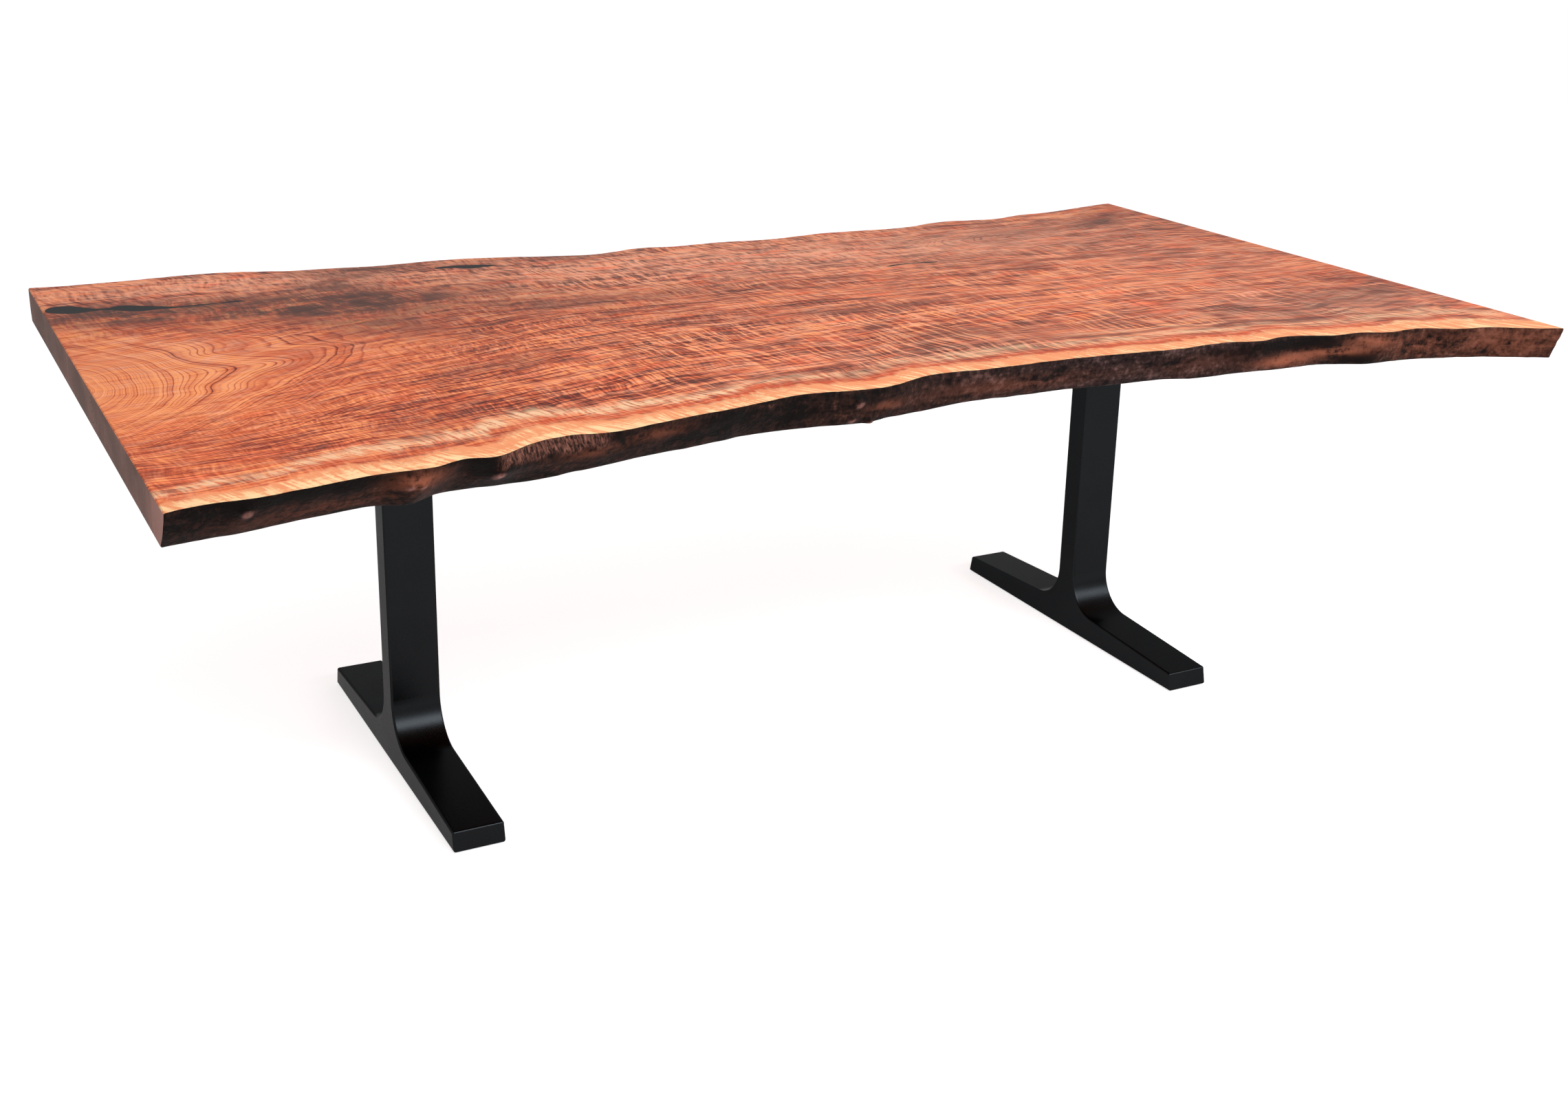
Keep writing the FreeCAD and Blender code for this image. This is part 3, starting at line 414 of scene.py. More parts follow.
class Sheet:
    """Puts nodes into one node tree. An input that is given a socket is linked, any other is set."""

    def __init__(self, tree):
        self.tree = tree

    def fill(self, node, inputs):
        """Link or set a node's inputs, by name or number."""
        for name, given in dict(inputs).items():
            if isinstance(given, bpy.types.NodeSocket):
                self.tree.links.new(given, node.inputs[name])
            else:
                node.inputs[name].default_value = given

    def put(self, kind, inputs=(), **settings):
        """New node with its settings made first and its inputs filled after."""
        node = self.tree.nodes.new(kind)
        for name, setting in settings.items():
            setattr(node, name, setting)
        self.fill(node, inputs)
        return node

    def group(self, name, inputs):
        """One of the shared groups as a node: its outputs. The group is built the first time."""
        tree = bpy.data.node_groups.get(name) or GROUPS[name](name)
        return self.put("ShaderNodeGroup", inputs, node_tree=tree).outputs

    def math(self, operation, *terms):
        """Sum, product or other operation on numbers."""
        return self.put("ShaderNodeMath", enumerate(terms), operation=operation).outputs[0]

    def chain(self, operation, total, *terms):
        """Operation on the first two numbers, then on its result and the next."""
        for term in terms:
            total = self.math(operation, total, term)
        return total

    def add(self, *terms):
        """Sum of two or more numbers."""
        return self.chain("ADD", *terms)

    def times(self, *terms):
        """Product of two or more numbers."""
        return self.chain("MULTIPLY", *terms)

    def weighed(self, start, *pairs):
        """Start plus each number times its weight."""
        return self.add(start, *(self.times(*pair) for pair in pairs))

    def about_zero(self, output, *factors):
        """A noise moved to lie about zero, multiplied."""
        return self.times(self.add(output, -0.5), *factors)

    def ease(self, value, low, high, start=0.0, end=1.0):
        """Eased step from start to end while the value goes from low to high."""
        inputs = {"Value": value, "From Min": low, "From Max": high, "To Min": start, "To Max": end}
        return self.put("ShaderNodeMapRange", inputs, interpolation_type="SMOOTHSTEP").outputs[0]

    def step(self, value, name):
        """One of the named eased steps."""
        return self.ease(value, *STEPS[name])

    def bell(self, value, middle, reach):
        """1 where the value is at the middle, easing to 0 at the reach on either side."""
        away = self.math("ABSOLUTE", self.math("SUBTRACT", value, middle))
        return self.ease(away, 0.0, reach, 1.0, 0.0)

    def place(self):
        """Object coordinates."""
        return self.put("ShaderNodeTexCoord").outputs["Object"]

    def parts(self, vector):
        """The three numbers of a vector."""
        return self.put("ShaderNodeSeparateXYZ", {0: vector}).outputs

    def stretch(self, vector, factors):
        """Vector with each part multiplied."""
        return self.put("ShaderNodeVectorMath", {0: vector, 1: factors}, operation="MULTIPLY").outputs[0]

    def attribute(self, name):
        """Number that the mesh holds at each vertex."""
        return self.put("ShaderNodeAttribute", attribute_name=name).outputs["Fac"]

    def noise(self, vector, detail=2.0, roughness=0.5, distortion=0.0):
        """Noise from 0 to 1, one lump to each unit of the vector."""
        inputs = {"Vector": vector, "Scale": 1.0, "Detail": detail, "Roughness": roughness,
                  "Distortion": distortion}
        return self.put("ShaderNodeTexNoise", inputs).outputs[0]

    def noise_along(self, value):
        """Noise from 0 to 1 that follows one number."""
        return self.put("ShaderNodeTexNoise", {"W": value, "Scale": 1.0}, noise_dimensions="1D").outputs[0]

    def lumps(self, place, density, *fineness):
        """Noise with so many lumps to the metre each way."""
        return self.noise(self.stretch(place, density), *fineness)

    def streaks(self, along, across, density_along, density_across, seed=0.0, *fineness):
        """Noise with so many lumps to the metre along and across."""
        parts = (self.times(along, density_along), self.times(across, density_across), seed)
        return self.noise(self.put("ShaderNodeCombineXYZ", enumerate(parts)).outputs[0], *fineness)

    def mix(self, factor, first, second, blend="MIX"):
        """Blend of two colours."""
        inputs = {0: factor, 6: first, 7: second}
        return self.put("ShaderNodeMix", inputs, data_type="RGBA", blend_type=blend).outputs[2]

    def ramp(self, value, settings, name):
        """Colour read off one of the named rows of colours."""
        node = self.put("ShaderNodeValToRGB", {0: value})
        elements = node.color_ramp.elements
        stops = RAMPS[name]
        while len(elements) < len(stops):
            elements.new(1.0)
        for element, (tint, position) in zip(elements, stops.items()):
            element.position = position
            element.color = getattr(settings, tint)
        return node.outputs[0]

    def bump(self, height, strength, distance):
        """Normal tilted by a height."""
        inputs = {"Height": height, "Strength": strength, "Distance": distance}
        return self.put("ShaderNodeBump", inputs).outputs[0]


def new_group(name, inputs, outputs):
    """Empty shader node group: a sheet to fill, its input sockets and its output node. An input without a
    default is a vector, all other sockets are numbers."""
    tree = bpy.data.node_groups.new(name, "ShaderNodeTree")
    for label, default in inputs.items():
        kind = "NodeSocketVector" if default is None else "NodeSocketFloat"
        socket = tree.interface.new_socket(label, in_out="INPUT", socket_type=kind)
        if default is not None:
            socket.default_value = default
    for label in outputs:
        tree.interface.new_socket(label, in_out="OUTPUT", socket_type="NodeSocketFloat")
    sheet = Sheet(tree)
    return sheet, sheet.put("NodeGroupInput").outputs, sheet.put("NodeGroupOutput")


def new_material(name):
    """Material with a bare Principled BSDF: the material, its sheet and the shader."""
    material = bpy.data.materials.new(name)
    material.use_nodes = True
    tree = material.node_tree
    return material, Sheet(tree), tree.nodes["Principled BSDF"]


def growth_ring_group(name):
    """Growth rings round the pith: radius from the pith, wavered by noise, cut into rings of uneven strength.
    Beside them, streaks, threads and fibres that run along the pith."""
    inputs = {"Place": None, "Across": 0.0, "Depth": 0.0, "Ring Width": 0.014, "Waver": 1.0}
    sheet, given, result = new_group(name, inputs, ("Flow", "Line", *STREAKS))
    add, times = sheet.add, sheet.times
    place = given["Place"]
    across = given["Across"]
    for density, height in WANDER:
        across = add(across, sheet.about_zero(sheet.lumps(place, density, 1.0), height))
    kink = sheet.lumps(place, KINK, KINK_DETAIL)
    depth = add(given["Depth"], sheet.about_zero(kink, given["Waver"], KINK_HEIGHT))
    radius = sheet.math("SQRT", add(times(across, across), times(depth, depth)))
    drift = times(sheet.noise_along(times(radius, DRIFT_DENSITY)), DRIFT_TURNS)
    turns = add(sheet.math("DIVIDE", radius, given["Ring Width"]), drift)
    saw = sheet.math("FRACT", turns)
    late = times(sheet.step(saw, "late_wood"), sheet.step(saw, "ring_end"))
    uneven = sheet.noise_along(times(sheet.math("FLOOR", turns), RING_STRIDE))
    made = {"Flow": across, "Line": times(late, sheet.step(uneven, "uneven_rings"))}
    x = sheet.parts(place)[0]
    for label, (round_pith, along, density, detail) in STREAKS.items():
        made[label] = sheet.streaks(x, radius if round_pith else across, along, density, depth, detail,
                                    STREAK_ROUGHNESS)
    sheet.fill(result, made)
    return sheet.tree


def speckle_group(name):
    """Fine uneven surface: a noise of the given grain for height, and a far broader one for tone."""
    sheet, given, result = new_group(name, {"Grain": 0.002}, ("Height", "Tone"))
    fine = sheet.stretch(sheet.place(), sheet.math("DIVIDE", 1.0, given["Grain"]))
    sheet.fill(result, {"Height": sheet.noise(fine, 3.0, 0.6),
                        "Tone": sheet.lumps(fine, SPECKLE_BROADER, 4.0, 0.6)})
    return sheet.tree


GROUPS = {"growth_rings": growth_ring_group, "speckle": speckle_group}


def wood_coordinates(sheet, settings, waver=1.0):
    """Growth ring group fed from the slab's own attributes."""
    return sheet.group("growth_rings", {
        "Place": sheet.place(), "Across": sheet.attribute("across"), "Depth": sheet.attribute("depth"),
        "Ring Width": settings.ring_width, "Waver": waver})


def figured_material(settings):
    """Sawn and oiled faces: rings, clouds, a weave of threads and strokes that also paint the curly grain's
    chatoyant sheen, smoke, and sapwood along the front rim."""
    material, sheet, shader = new_material("figured_wood")
    add, times, step, mix, about_zero = sheet.add, sheet.times, sheet.step, sheet.mix, sheet.about_zero
    place = sheet.place()
    x, y, _ = sheet.parts(place)
    wood = wood_coordinates(sheet, settings)
    flow, thread, fibre = wood["Flow"], wood["Thread"], wood["Fibre"]
    field = {name: sheet.attribute(name) for name in FIGURE}
    plain = sheet.math("SUBTRACT", 1.0, times(field["arch"], 0.9))
    lines = times(wood["Line"], field["rings"])

    # Clouds: soft darker and paler places, drawn out a little along the grain
    clouds = {name: sheet.streaks(x, flow, *made) for name, made in CLOUDS.items()}
    smudge = times(step(clouds["spots"], "smudge"), plain)
    gleam = times(step(clouds["gleams"], "gleam"), plain)

    # Curl: pale strokes across the grain, short dashes across the threads, and coarser hatching at the back. The
    # strokes, dashes and threads give the curly grain's figure and also paint its chatoyant sheen into the colour
    sway = times(sheet.lumps(place, SWAY, 1.0), SWAY_WIDTH)
    leaned = add(x, times(y, LEAN), sway)
    leaning = {name: sheet.streaks(leaned, flow, *made) for name, made in LEANING.items()}
    patch = step(sheet.lumps(place, CURL_PATCH), "curl_patch")
    curl = times(add(field["curl"], 0.5), patch, plain)
    weave = times(add(field["weave"], 0.25), plain)
    loose = times(sheet.math("SUBTRACT", 1.0, field["weave"]), plain)
    curl_and_painted_sheen = add(times(step(leaning["strokes"], "strokes"), curl), about_zero(leaning["dashes"], weave, 2.7),
                 times(step(thread, "threads"), weave))
    hatched = times(step(y, "hatched_back"), step(x, "hatched_left"))

    # Heartwood: its tone from all of these, darkened slightly towards the right as painted shade against the
    # lamps' stronger light there, then a tan cast and a red blush
    tone = add(
        sheet.weighed(0.60, (field["glow"], 0.22), (field["dusk"], -0.20), (smudge, -0.24), (gleam, 0.24),
                      (curl_and_painted_sheen, 0.30), (lines, -0.48), (x, -0.035)),
        about_zero(leaning["hatch"], hatched, plain), about_zero(wood["Ringed"], field["arch"], 1.05),
        about_zero(wood["Drawn"], add(times(loose, 0.30), 0.16)), about_zero(clouds["cloud"], plain, 0.66),
        about_zero(thread, loose, 1.15), about_zero(fibre, 0.80))
    heart = sheet.ramp(tone, settings, "heartwood")
    cast = add(step(x, "cast_right"), times(field["tan"], 0.60), about_zero(clouds["cast"], 2.0))
    tanned = mix(step(cast, "cast"), heart, settings.heart_tan, "COLOR")
    blushed = mix(times(step(clouds["blush"], "blush"), plain), tanned, settings.sap_red, "COLOR")
    clouded = mix(times(smudge, 0.30), blushed, settings.smoke)

    # Stripes: grey-brown and tan, side by side along the front rim
    edge_gap = sheet.attribute("front_gap")
    stripe = sheet.streaks(x, edge_gap, *STRIPE)
    browned = mix(times(field["stripes"], step(stripe, "brown_stripes")), clouded, settings.smoke)
    paled = mix(times(field["stripes"], step(stripe, "tan_stripes")), browned, settings.sap_grey)

    # Smoke: mottled grey-brown staining, nearly black where it is deepest
    mottle = sheet.lumps(place, MOTTLE, 4.0, 0.65, 0.6)
    fretted = add(times(mottle, 0.50), times(leaning["strokes"], 0.22), times(thread, 0.28))
    stained = mix(times(field["smoke"], step(fretted, "stain")), paled, settings.smoke)
    charred = times(step(field["smoke"], "deep_smoke"), step(fretted, "char"))
    darkened = mix(charred, stained, settings.bark)

    # Sapwood: cream at the rim, orange inside it, a red line and a broken pale band, combed by slanted strokes
    slant = add(x, times(y, SLANT), sway)
    comb, coarse = (sheet.streaks(slant, flow, *SLANTING[name]) for name in ("comb", "coarse"))
    drift = about_zero(sheet.lumps(place, RIM_DRIFT, 3.0, 0.6), 0.050)
    gap = add(edge_gap, drift, about_zero(comb, 0.018), about_zero(coarse, 0.036))
    width = settings.sap_width
    band = {name: sheet.bell(gap, width * middle, width * reach) for name, (middle, reach) in BANDS.items()}
    grey = times(band["grey"], step(comb, "grey_comb"), step(clouds["spots"], "broken"), step(x, "dusty_left"))
    banded = mix(grey, darkened, settings.sap_grey)
    far = step(x, "far_right")
    thin, broad = times(band["thin"], step(coarse, "thin_red")), times(band["broad"], step(comb, "broad_red"))
    red = times(sheet.math("MAXIMUM", thin, broad), step(far, "red_far"), step(x, "red_left"))
    lined = mix(red, banded, settings.sap_red)
    seam = sheet.streaks(x, gap, *SEAM)
    near_rim = add(step(x, "cream_left"), times(far, -0.10))
    lit = add(sheet.ease(gap, 0.0, width * CREAM_END, near_rim, CREAM_LEFT), times(band["teeth"], far),
              about_zero(comb, 3.0), about_zero(coarse, 1.6), about_zero(seam, 1.3))
    sap = mix(step(lit, "cream"), settings.sap_orange, settings.sapwood)
    fade = (width * part for part in SAP_FADE)
    edged = mix(sheet.ease(gap, *fade, SAP_COVER, 0.0), lined, sap)
    seamed = mix(times(band["seam"], step(seam, "seam")), edged, settings.sap_red)

    grain = sheet.weighed(fibre, (lines, -0.5), (curl_and_painted_sheen, 0.2))
    sheet.fill(shader, {
        "Base Color": seamed, "Roughness": add(0.46, about_zero(fibre, 0.20), times(lines, 0.06)),
        "Normal": sheet.bump(grain, 0.25, 0.0006), "Specular IOR Level": 0.02})
    return material


def live_edge_material(settings):
    """Natural edge without its bark: dark brown, worn pale on lumps, pale on the knots' tips as worn wood with a
    painted highlight, with painted shade beside the knots and painted light towards the right, fibrous where the
    bark tore.
    """
    material, sheet, shader = new_material("live_edge_wood")
    add, times, step, mix = sheet.add, sheet.times, sheet.step, sheet.mix
    place = sheet.place()
    x = sheet.parts(place)[0]
    fibre = wood_coordinates(sheet, settings)["Fibre"]
    fine = sheet.group("speckle", {"Grain": 0.0045})
    cloud, drawn, lumpy, grit, wrinkle = (sheet.lumps(place, *made) for made in EDGE_LUMPS.values())

    # Bare edge: clouds, lumps and grit, mauve in the middle, darker where the bark is dark and in painted shade
    # just above the knots, lighter towards the right as painted light, with ochre worn places and pale knot tips
    # that are worn wood with a painted highlight
    tone = add(sheet.weighed(0.175, (cloud, 0.50), (drawn, 0.30), (grit, 0.40),
                             (sheet.attribute("dark_bark"), -0.30)),
               # The step along x lifts the tone towards the right: painted light from the right
               sheet.about_zero(lumpy, step(x, "lumps_right")), step(x, "edge_painted_light"))
    ground = sheet.ramp(tone, settings, "live_edge")
    cool = mix(sheet.bell(x, *MAUVE), ground, settings.bark_mauve, "COLOR")
    patchy = add(times(cloud, 0.6), times(drawn, 0.3), times(lumpy, 0.4), times(grit, 0.3))
    bare = mix(times(sheet.attribute("pale_bark"), step(patchy, "worn")), cool, settings.bark_ochre)
    tips = mix(times(sheet.attribute("knots"), step(grit, "ribs")), bare, settings.torn)

    torn = sheet.attribute("torn")
    relief = sheet.weighed(fine["Height"], (drawn, 0.6), (fibre, 0.3), (torn, wrinkle, 2.5), (lumpy, 0.8),
                           (grit, 0.6))
    sheet.fill(shader, {
        "Base Color": mix(torn, tips, sheet.ramp(wrinkle, settings, "fibres")),
        "Roughness": sheet.weighed(0.50, (fine["Tone"], 0.22)), "Normal": sheet.bump(relief, 0.9, 0.0015),
        "Specular IOR Level": 0.03})
    return material


def end_grain_material(settings):
    """Sawn ends: grey-brown, with faint rings and pores, paler towards the front corner."""
    material, sheet, shader = new_material("end_grain_wood")
    place = sheet.place()
    line = wood_coordinates(sheet, settings, END_WAVER)["Line"]
    fine = sheet.group("speckle", {"Grain": 0.0025})
    tone = sheet.add(sheet.weighed(0.22, (sheet.lumps(place, END_CLOUD, 3.0), 0.5), (line, -0.22),
                                   (fine["Height"], 0.20)),
                     sheet.step(sheet.parts(place)[1], "end_corner"))
    sheet.fill(shader, {
        "Base Color": sheet.ramp(tone, settings, "sawn_end"),
        "Roughness": sheet.weighed(0.46, (fine["Tone"], 0.12)),
        "Normal": sheet.bump(fine["Height"], 0.4, 0.0004), "Specular IOR Level": 0.02})
    return material


def mesh_points(mesh):
    """Vertices of a mesh, one row each."""
    flat = np.empty(len(mesh.vertices) * 3, np.float32)
    mesh.vertices.foreach_get("co", flat)
    return flat.reshape(-1, 3).astype(float)


def rim_line(points, height, side):
    """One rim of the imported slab, as its x and y from left to right: the vertices at that height on that side,
    apart from those of the voids."""
    rim = (np.abs(points[:, 2] - height) < NEAR) & (points[:, 1] * side > EDGE_ZONE)
    for name in RESIN_NODES:
        low, high = (np.array(corner)[:2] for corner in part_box(name))
        rim &= ~((points[:, :2] > low - CUTTER_PROUD) & (points[:, :2] < high + CUTTER_PROUD)).all(axis=1)
    found = points[rim]
    _, first = np.unique(np.round(found[:, 0], 5), return_index=True)
    return found[first, 0], found[first, 1]


def eased(value, low, high):
    """Eased step from 0 at low to 1 at high."""
    part = np.clip((value - low) / (high - low), 0, 1)
    return part ** 2 * (3 - 2 * part)


def risen(value, rise, fall):
    """Eased up from 0 to 1 over the rise, and down again over the fall."""
    return eased(value, *rise) * (1 - eased(value, *fall))


def smooth_noise(across, along, seed):
    """Noise from -1 to 1: random heights on a unit lattice, eased between the four around each point."""
    heights = np.random.default_rng(seed).uniform(-1, 1, (LATTICE, LATTICE))
    column, row = np.floor(across).astype(int), np.floor(along).astype(int)
    to_right, to_next = eased(across - column, 0, 1), eased(along - row, 0, 1)
    left, right = column % LATTICE, (column + 1) % LATTICE
    near, far = (heights[left, line % LATTICE] * (1 - to_right) + heights[right, line % LATTICE] * to_right
                 for line in (row, row + 1))
    return near * (1 - to_next) + far * to_next


def smoothed(xs, ys, reach):
    """Values along evenly spaced x, averaged under a bell of that reach."""
    step = xs[1] - xs[0]
    half = int(3 * reach / step)
    bell = np.exp(-0.5 * (np.arange(-half, half + 1) * step / reach) ** 2)
    padded = np.pad(ys, half, mode="edge")
    return np.convolve(padded, bell / bell.sum(), mode="valid")


def patches(x, y, places):
    """Sum of soft ovals, capped at 1: each is its strength times a bell of the turned, scaled distance."""
    total = np.zeros_like(x)
    for middle_x, middle_y, half_length, half_width, turn, strength in places:
        cos, sin = math.cos(math.radians(turn)), math.sin(math.radians(turn))
        along = ((x - middle_x) * cos + (y - middle_y) * sin) / half_length
        across = (-(x - middle_x) * sin + (y - middle_y) * cos) / half_width
        total += strength * np.exp(-(along ** 2 + across ** 2))
    return np.clip(total, 0, 1)


def edge_spots(x, level, places):
    """Sum of soft ovals on an unrolled edge, capped at 1."""
    return patches(x, level, [(*place[:4], 0, place[4]) for place in places])


class SlabShape:
    """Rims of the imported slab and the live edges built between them. A level is 0 at the top rim and 1 at the
    bottom rim."""

    def __init__(self, settings):
        points = mesh_points(frame["nodes"]["slab"].data)
        self.settings = settings
        self.rims = {(side, height): rim_line(points, height, side)
                     for side in (FRONT, BACK) for height in (UNDERSIDE, TOP)}

    def rim(self, x, side, height):
        """y of a rim at each x."""
        return np.interp(x, *self.rims[side, height])

    def torn(self, x, level):
        """Where the bark tore off the front edge: a window along x, fading down the upper half of the edge."""
        ragged = TORN_DEPTH + TORN_RAGGED * smooth_noise(x / TORN_STEP, level * 0, TORN_SEED)
        return risen(x, TORN_RISE, TORN_FALL) * (1 - eased(level, ragged, ragged + TORN_FADE))

    def knots(self, x, level, radius_share):
        """Knots as bells on the unrolled edge, height times a bell of that share of the radius."""
        total = np.zeros_like(x)
        for middle, depth, radius, height in KNOTS:
            reach = radius * radius_share
            away = ((x - middle) / reach) ** 2 + ((level - depth) * THICKNESS / reach) ** 2
            total += height * np.exp(-away)
        return total

    def outward(self, x, level, side):
        """How far an edge stands out from the line between its rims: a bulge, noise at three scales, and on the
        front edge the knots and the torn bark."""
        settings = self.settings
        out = settings.bulge * 4 * level * (1 - level) * (1 - eased(x, *FLAT_RUN))
        rough = {"ripples": ROUGH_START + ROUGH_GAIN * eased(x, *ROUGH_RUN)}
        for step, (name, (along, down, start)) in enumerate(EDGE_NOISE.items()):
            noise = smooth_noise(x / along + start, level * THICKNESS / down, EDGE_SEEDS[side] + step)
            out = out + getattr(settings, name) * rough.get(name, 1) * noise
        if side == FRONT:
            for height_share, radius_share in KNOT_FORMS:
                out = out + height_share * self.knots(x, level, radius_share)
            out = out + settings.torn_bulge * risen(x, *HUMP_ALONG) * risen(level, *HUMP_DOWN)
        return out

    def edge(self, x, level, side, inset):
        """y of a live edge: the straight line between the rims, pushed outwards, eased at the rims."""
        line = self.rim(x, side, TOP) * (1 - level) + self.rim(x, side, UNDERSIDE) * level
        ease = self.settings.ease * (np.exp(-level / RIM_SHARE) + np.exp(-(1 - level) / RIM_SHARE))
        return line + side * (self.outward(x, level, side) - ease - inset)

    def grid(self):
        """Vertices as stations along X by a loop round the section, with the loop's front and back edges."""
        arris = self.settings.arris
        x = np.concatenate([[LEFT], np.linspace(LEFT + arris, RIGHT - arris, STATIONS - 2), [RIGHT]])[:, None]
        inset = np.zeros_like(x)
        inset[[0, -1]] = arris
        even = np.linspace(0, 1, EDGE_ROWS + 1)
        closing = (1 - np.cos(np.linspace(0, math.pi, EDGE_ROWS + 1))) / 2
        level = ((1 - ROW_CLOSING) * even + ROW_CLOSING * closing)[None, :]
        xs, levels = np.broadcast_arrays(x, level)
        front, back = (self.edge(xs, levels, side, inset) for side in (FRONT, BACK))
        height = TOP - inset - level * (THICKNESS - 2 * inset)
        across = np.linspace(0, 1, TOP_ROWS + 1)[None, :]
        top = front[:, :1] * (1 - across) + back[:, :1] * across
        bottom = front[:, -1:] * (1 - across) + back[:, -1:] * across
        y = np.hstack([top[:, :-1], back[:, :-1], bottom[:, :0:-1], front[:, :0:-1]])
        flat = np.ones_like(top)
        z = np.hstack([flat[:, :-1] * (TOP - inset), height[:, :-1], flat[:, :0:-1] * (UNDERSIDE + inset),
                       height[:, :0:-1]])
        return np.stack([np.broadcast_to(x, y.shape), y, z], -1), front, back, height

    def mesh(self):
        """Closed slab mesh: the loop carried along X, with a grid of the same rows and columns across each
        end."""
        points, front, back, height = self.grid()
        stations, around, _ = points.shape
        index = np.arange(stations * around).reshape(stations, around)
        ahead = np.roll(index, -1, axis=1)
        sides = np.stack([index[:-1], index[1:], ahead[1:], ahead[:-1]], -1)
        faces = [sides.reshape(-1, 4)]
        back_end = TOP_ROWS + EDGE_ROWS
        front_start = back_end + TOP_ROWS
        owner = np.zeros(around, int)
        owner[TOP_ROWS:back_end] = EDGE_SLOT
        owner[front_start:] = EDGE_SLOT
        slots = [np.broadcast_to(owner, sides.shape[:2]).ravel()]
        vertices = [points.reshape(-1, 3)]
        made = stations * around
        inside = (EDGE_ROWS - 1, TOP_ROWS - 1)
        share_across = np.linspace(0, 1, TOP_ROWS + 1)[None, 1:-1]
        for station in (0, stations - 1):
            cap = np.empty((EDGE_ROWS + 1, TOP_ROWS + 1), int)
            ring = index[station]
            cap[0] = ring[:TOP_ROWS + 1]
            cap[-1] = ring[back_end:front_start + 1][::-1]
            cap[:, -1] = ring[TOP_ROWS:back_end + 1]
            cap[:, 0] = np.append(ring[0], ring[:front_start - 1:-1])
            cap[1:-1, 1:-1] = made + np.arange(inside[0] * inside[1]).reshape(inside)
            made += inside[0] * inside[1]
            x = np.full(inside, points[station, 0, 0])
            y = front[station, 1:-1, None] * (1 - share_across) + back[station, 1:-1, None] * share_across
            z = np.broadcast_to(height[station, 1:-1, None], inside)
            vertices.append(np.stack([x, y, z], -1).reshape(-1, 3))
            quads = np.stack([cap[:-1, :-1], cap[:-1, 1:], cap[1:, 1:], cap[1:, :-1]], -1).reshape(-1, 4)
            faces.append(quads if station == 0 else quads[:, ::-1])
            slots.append(np.full(len(quads), END_SLOT))
        return np.vstack(vertices), np.vstack(faces), np.concatenate(slots)


def mesh_of_faces(name, vertices, faces, slots=None):
    """Mesh data from arrays of vertices, four-cornered or three-cornered faces and material slots."""
    corners = faces.shape[1]
    mesh = bpy.data.meshes.new(name)
    mesh.vertices.add(len(vertices))
    mesh.vertices.foreach_set("co", np.asarray(vertices, np.float32).ravel())
    mesh.loops.add(faces.size)
    mesh.loops.foreach_set("vertex_index", np.asarray(faces, np.int32).ravel())
    mesh.polygons.add(len(faces))
    mesh.polygons.foreach_set("loop_start", np.arange(0, faces.size, corners, dtype=np.int32))
    if slots is not None:
        mesh.polygons.foreach_set("material_index", np.asarray(slots, np.int32))
    mesh.update(calc_edges=True)
    mesh.validate()
    return mesh


def new_object(name, data):
    """Object at the origin, in the scene."""
    made = bpy.data.objects.new(name, data)
    bpy.context.scene.collection.objects.link(made)
    return made


def cutter_of(name):
    """Copy of a resin fill with its corners merged and its top raised, to cut its void out of the slab."""
    mesh = frame["nodes"][name].data
    corners = np.empty(len(mesh.loops), np.int32)
    mesh.loops.foreach_get("vertex_index", corners)
    merged, owner = np.unique(np.round(mesh_points(mesh), 6), axis=0, return_inverse=True)
    faces = owner.ravel()[corners].reshape(-1, 3)
    whole = (faces != np.roll(faces, 1, axis=1)).all(axis=1)
    merged[merged[:, 2] > TOP - NEAR, 2] += CUTTER_PROUD
    return new_object(f"cut_{name}", mesh_of_faces(f"cut_{name}", merged, faces[whole]))


def cut_voids(slab):
    """Cut the resin's voids out of the slab and keep the result as its mesh."""
    cutters = [cutter_of(name) for name in RESIN_NODES]
    for cutter in cutters:
        cut = slab.modifiers.new(cutter.name, "BOOLEAN")
        cut.operation = "DIFFERENCE"
        cut.solver = "EXACT"
        cut.object = cutter
    depsgraph = bpy.context.evaluated_depsgraph_get()
    result = bpy.data.meshes.new_from_object(slab.evaluated_get(depsgraph))
    slab.modifiers.clear()
    old = slab.data
    slab.data = result
    bpy.data.meshes.remove(old)
    for cutter in cutters:
        mesh = cutter.data
        bpy.data.objects.remove(cutter)
        bpy.data.meshes.remove(mesh)
    result.name = slab.name
    uses = np.zeros(len(result.edges), int)
    corners = np.empty(len(result.loops), np.int32)
    result.loops.foreach_get("edge_index", corners)
    np.add.at(uses, corners, 1)
    if (uses != 2).any():
        raise RuntimeError(f"the slab's mesh is open at {int((uses != 2).sum())} edges")


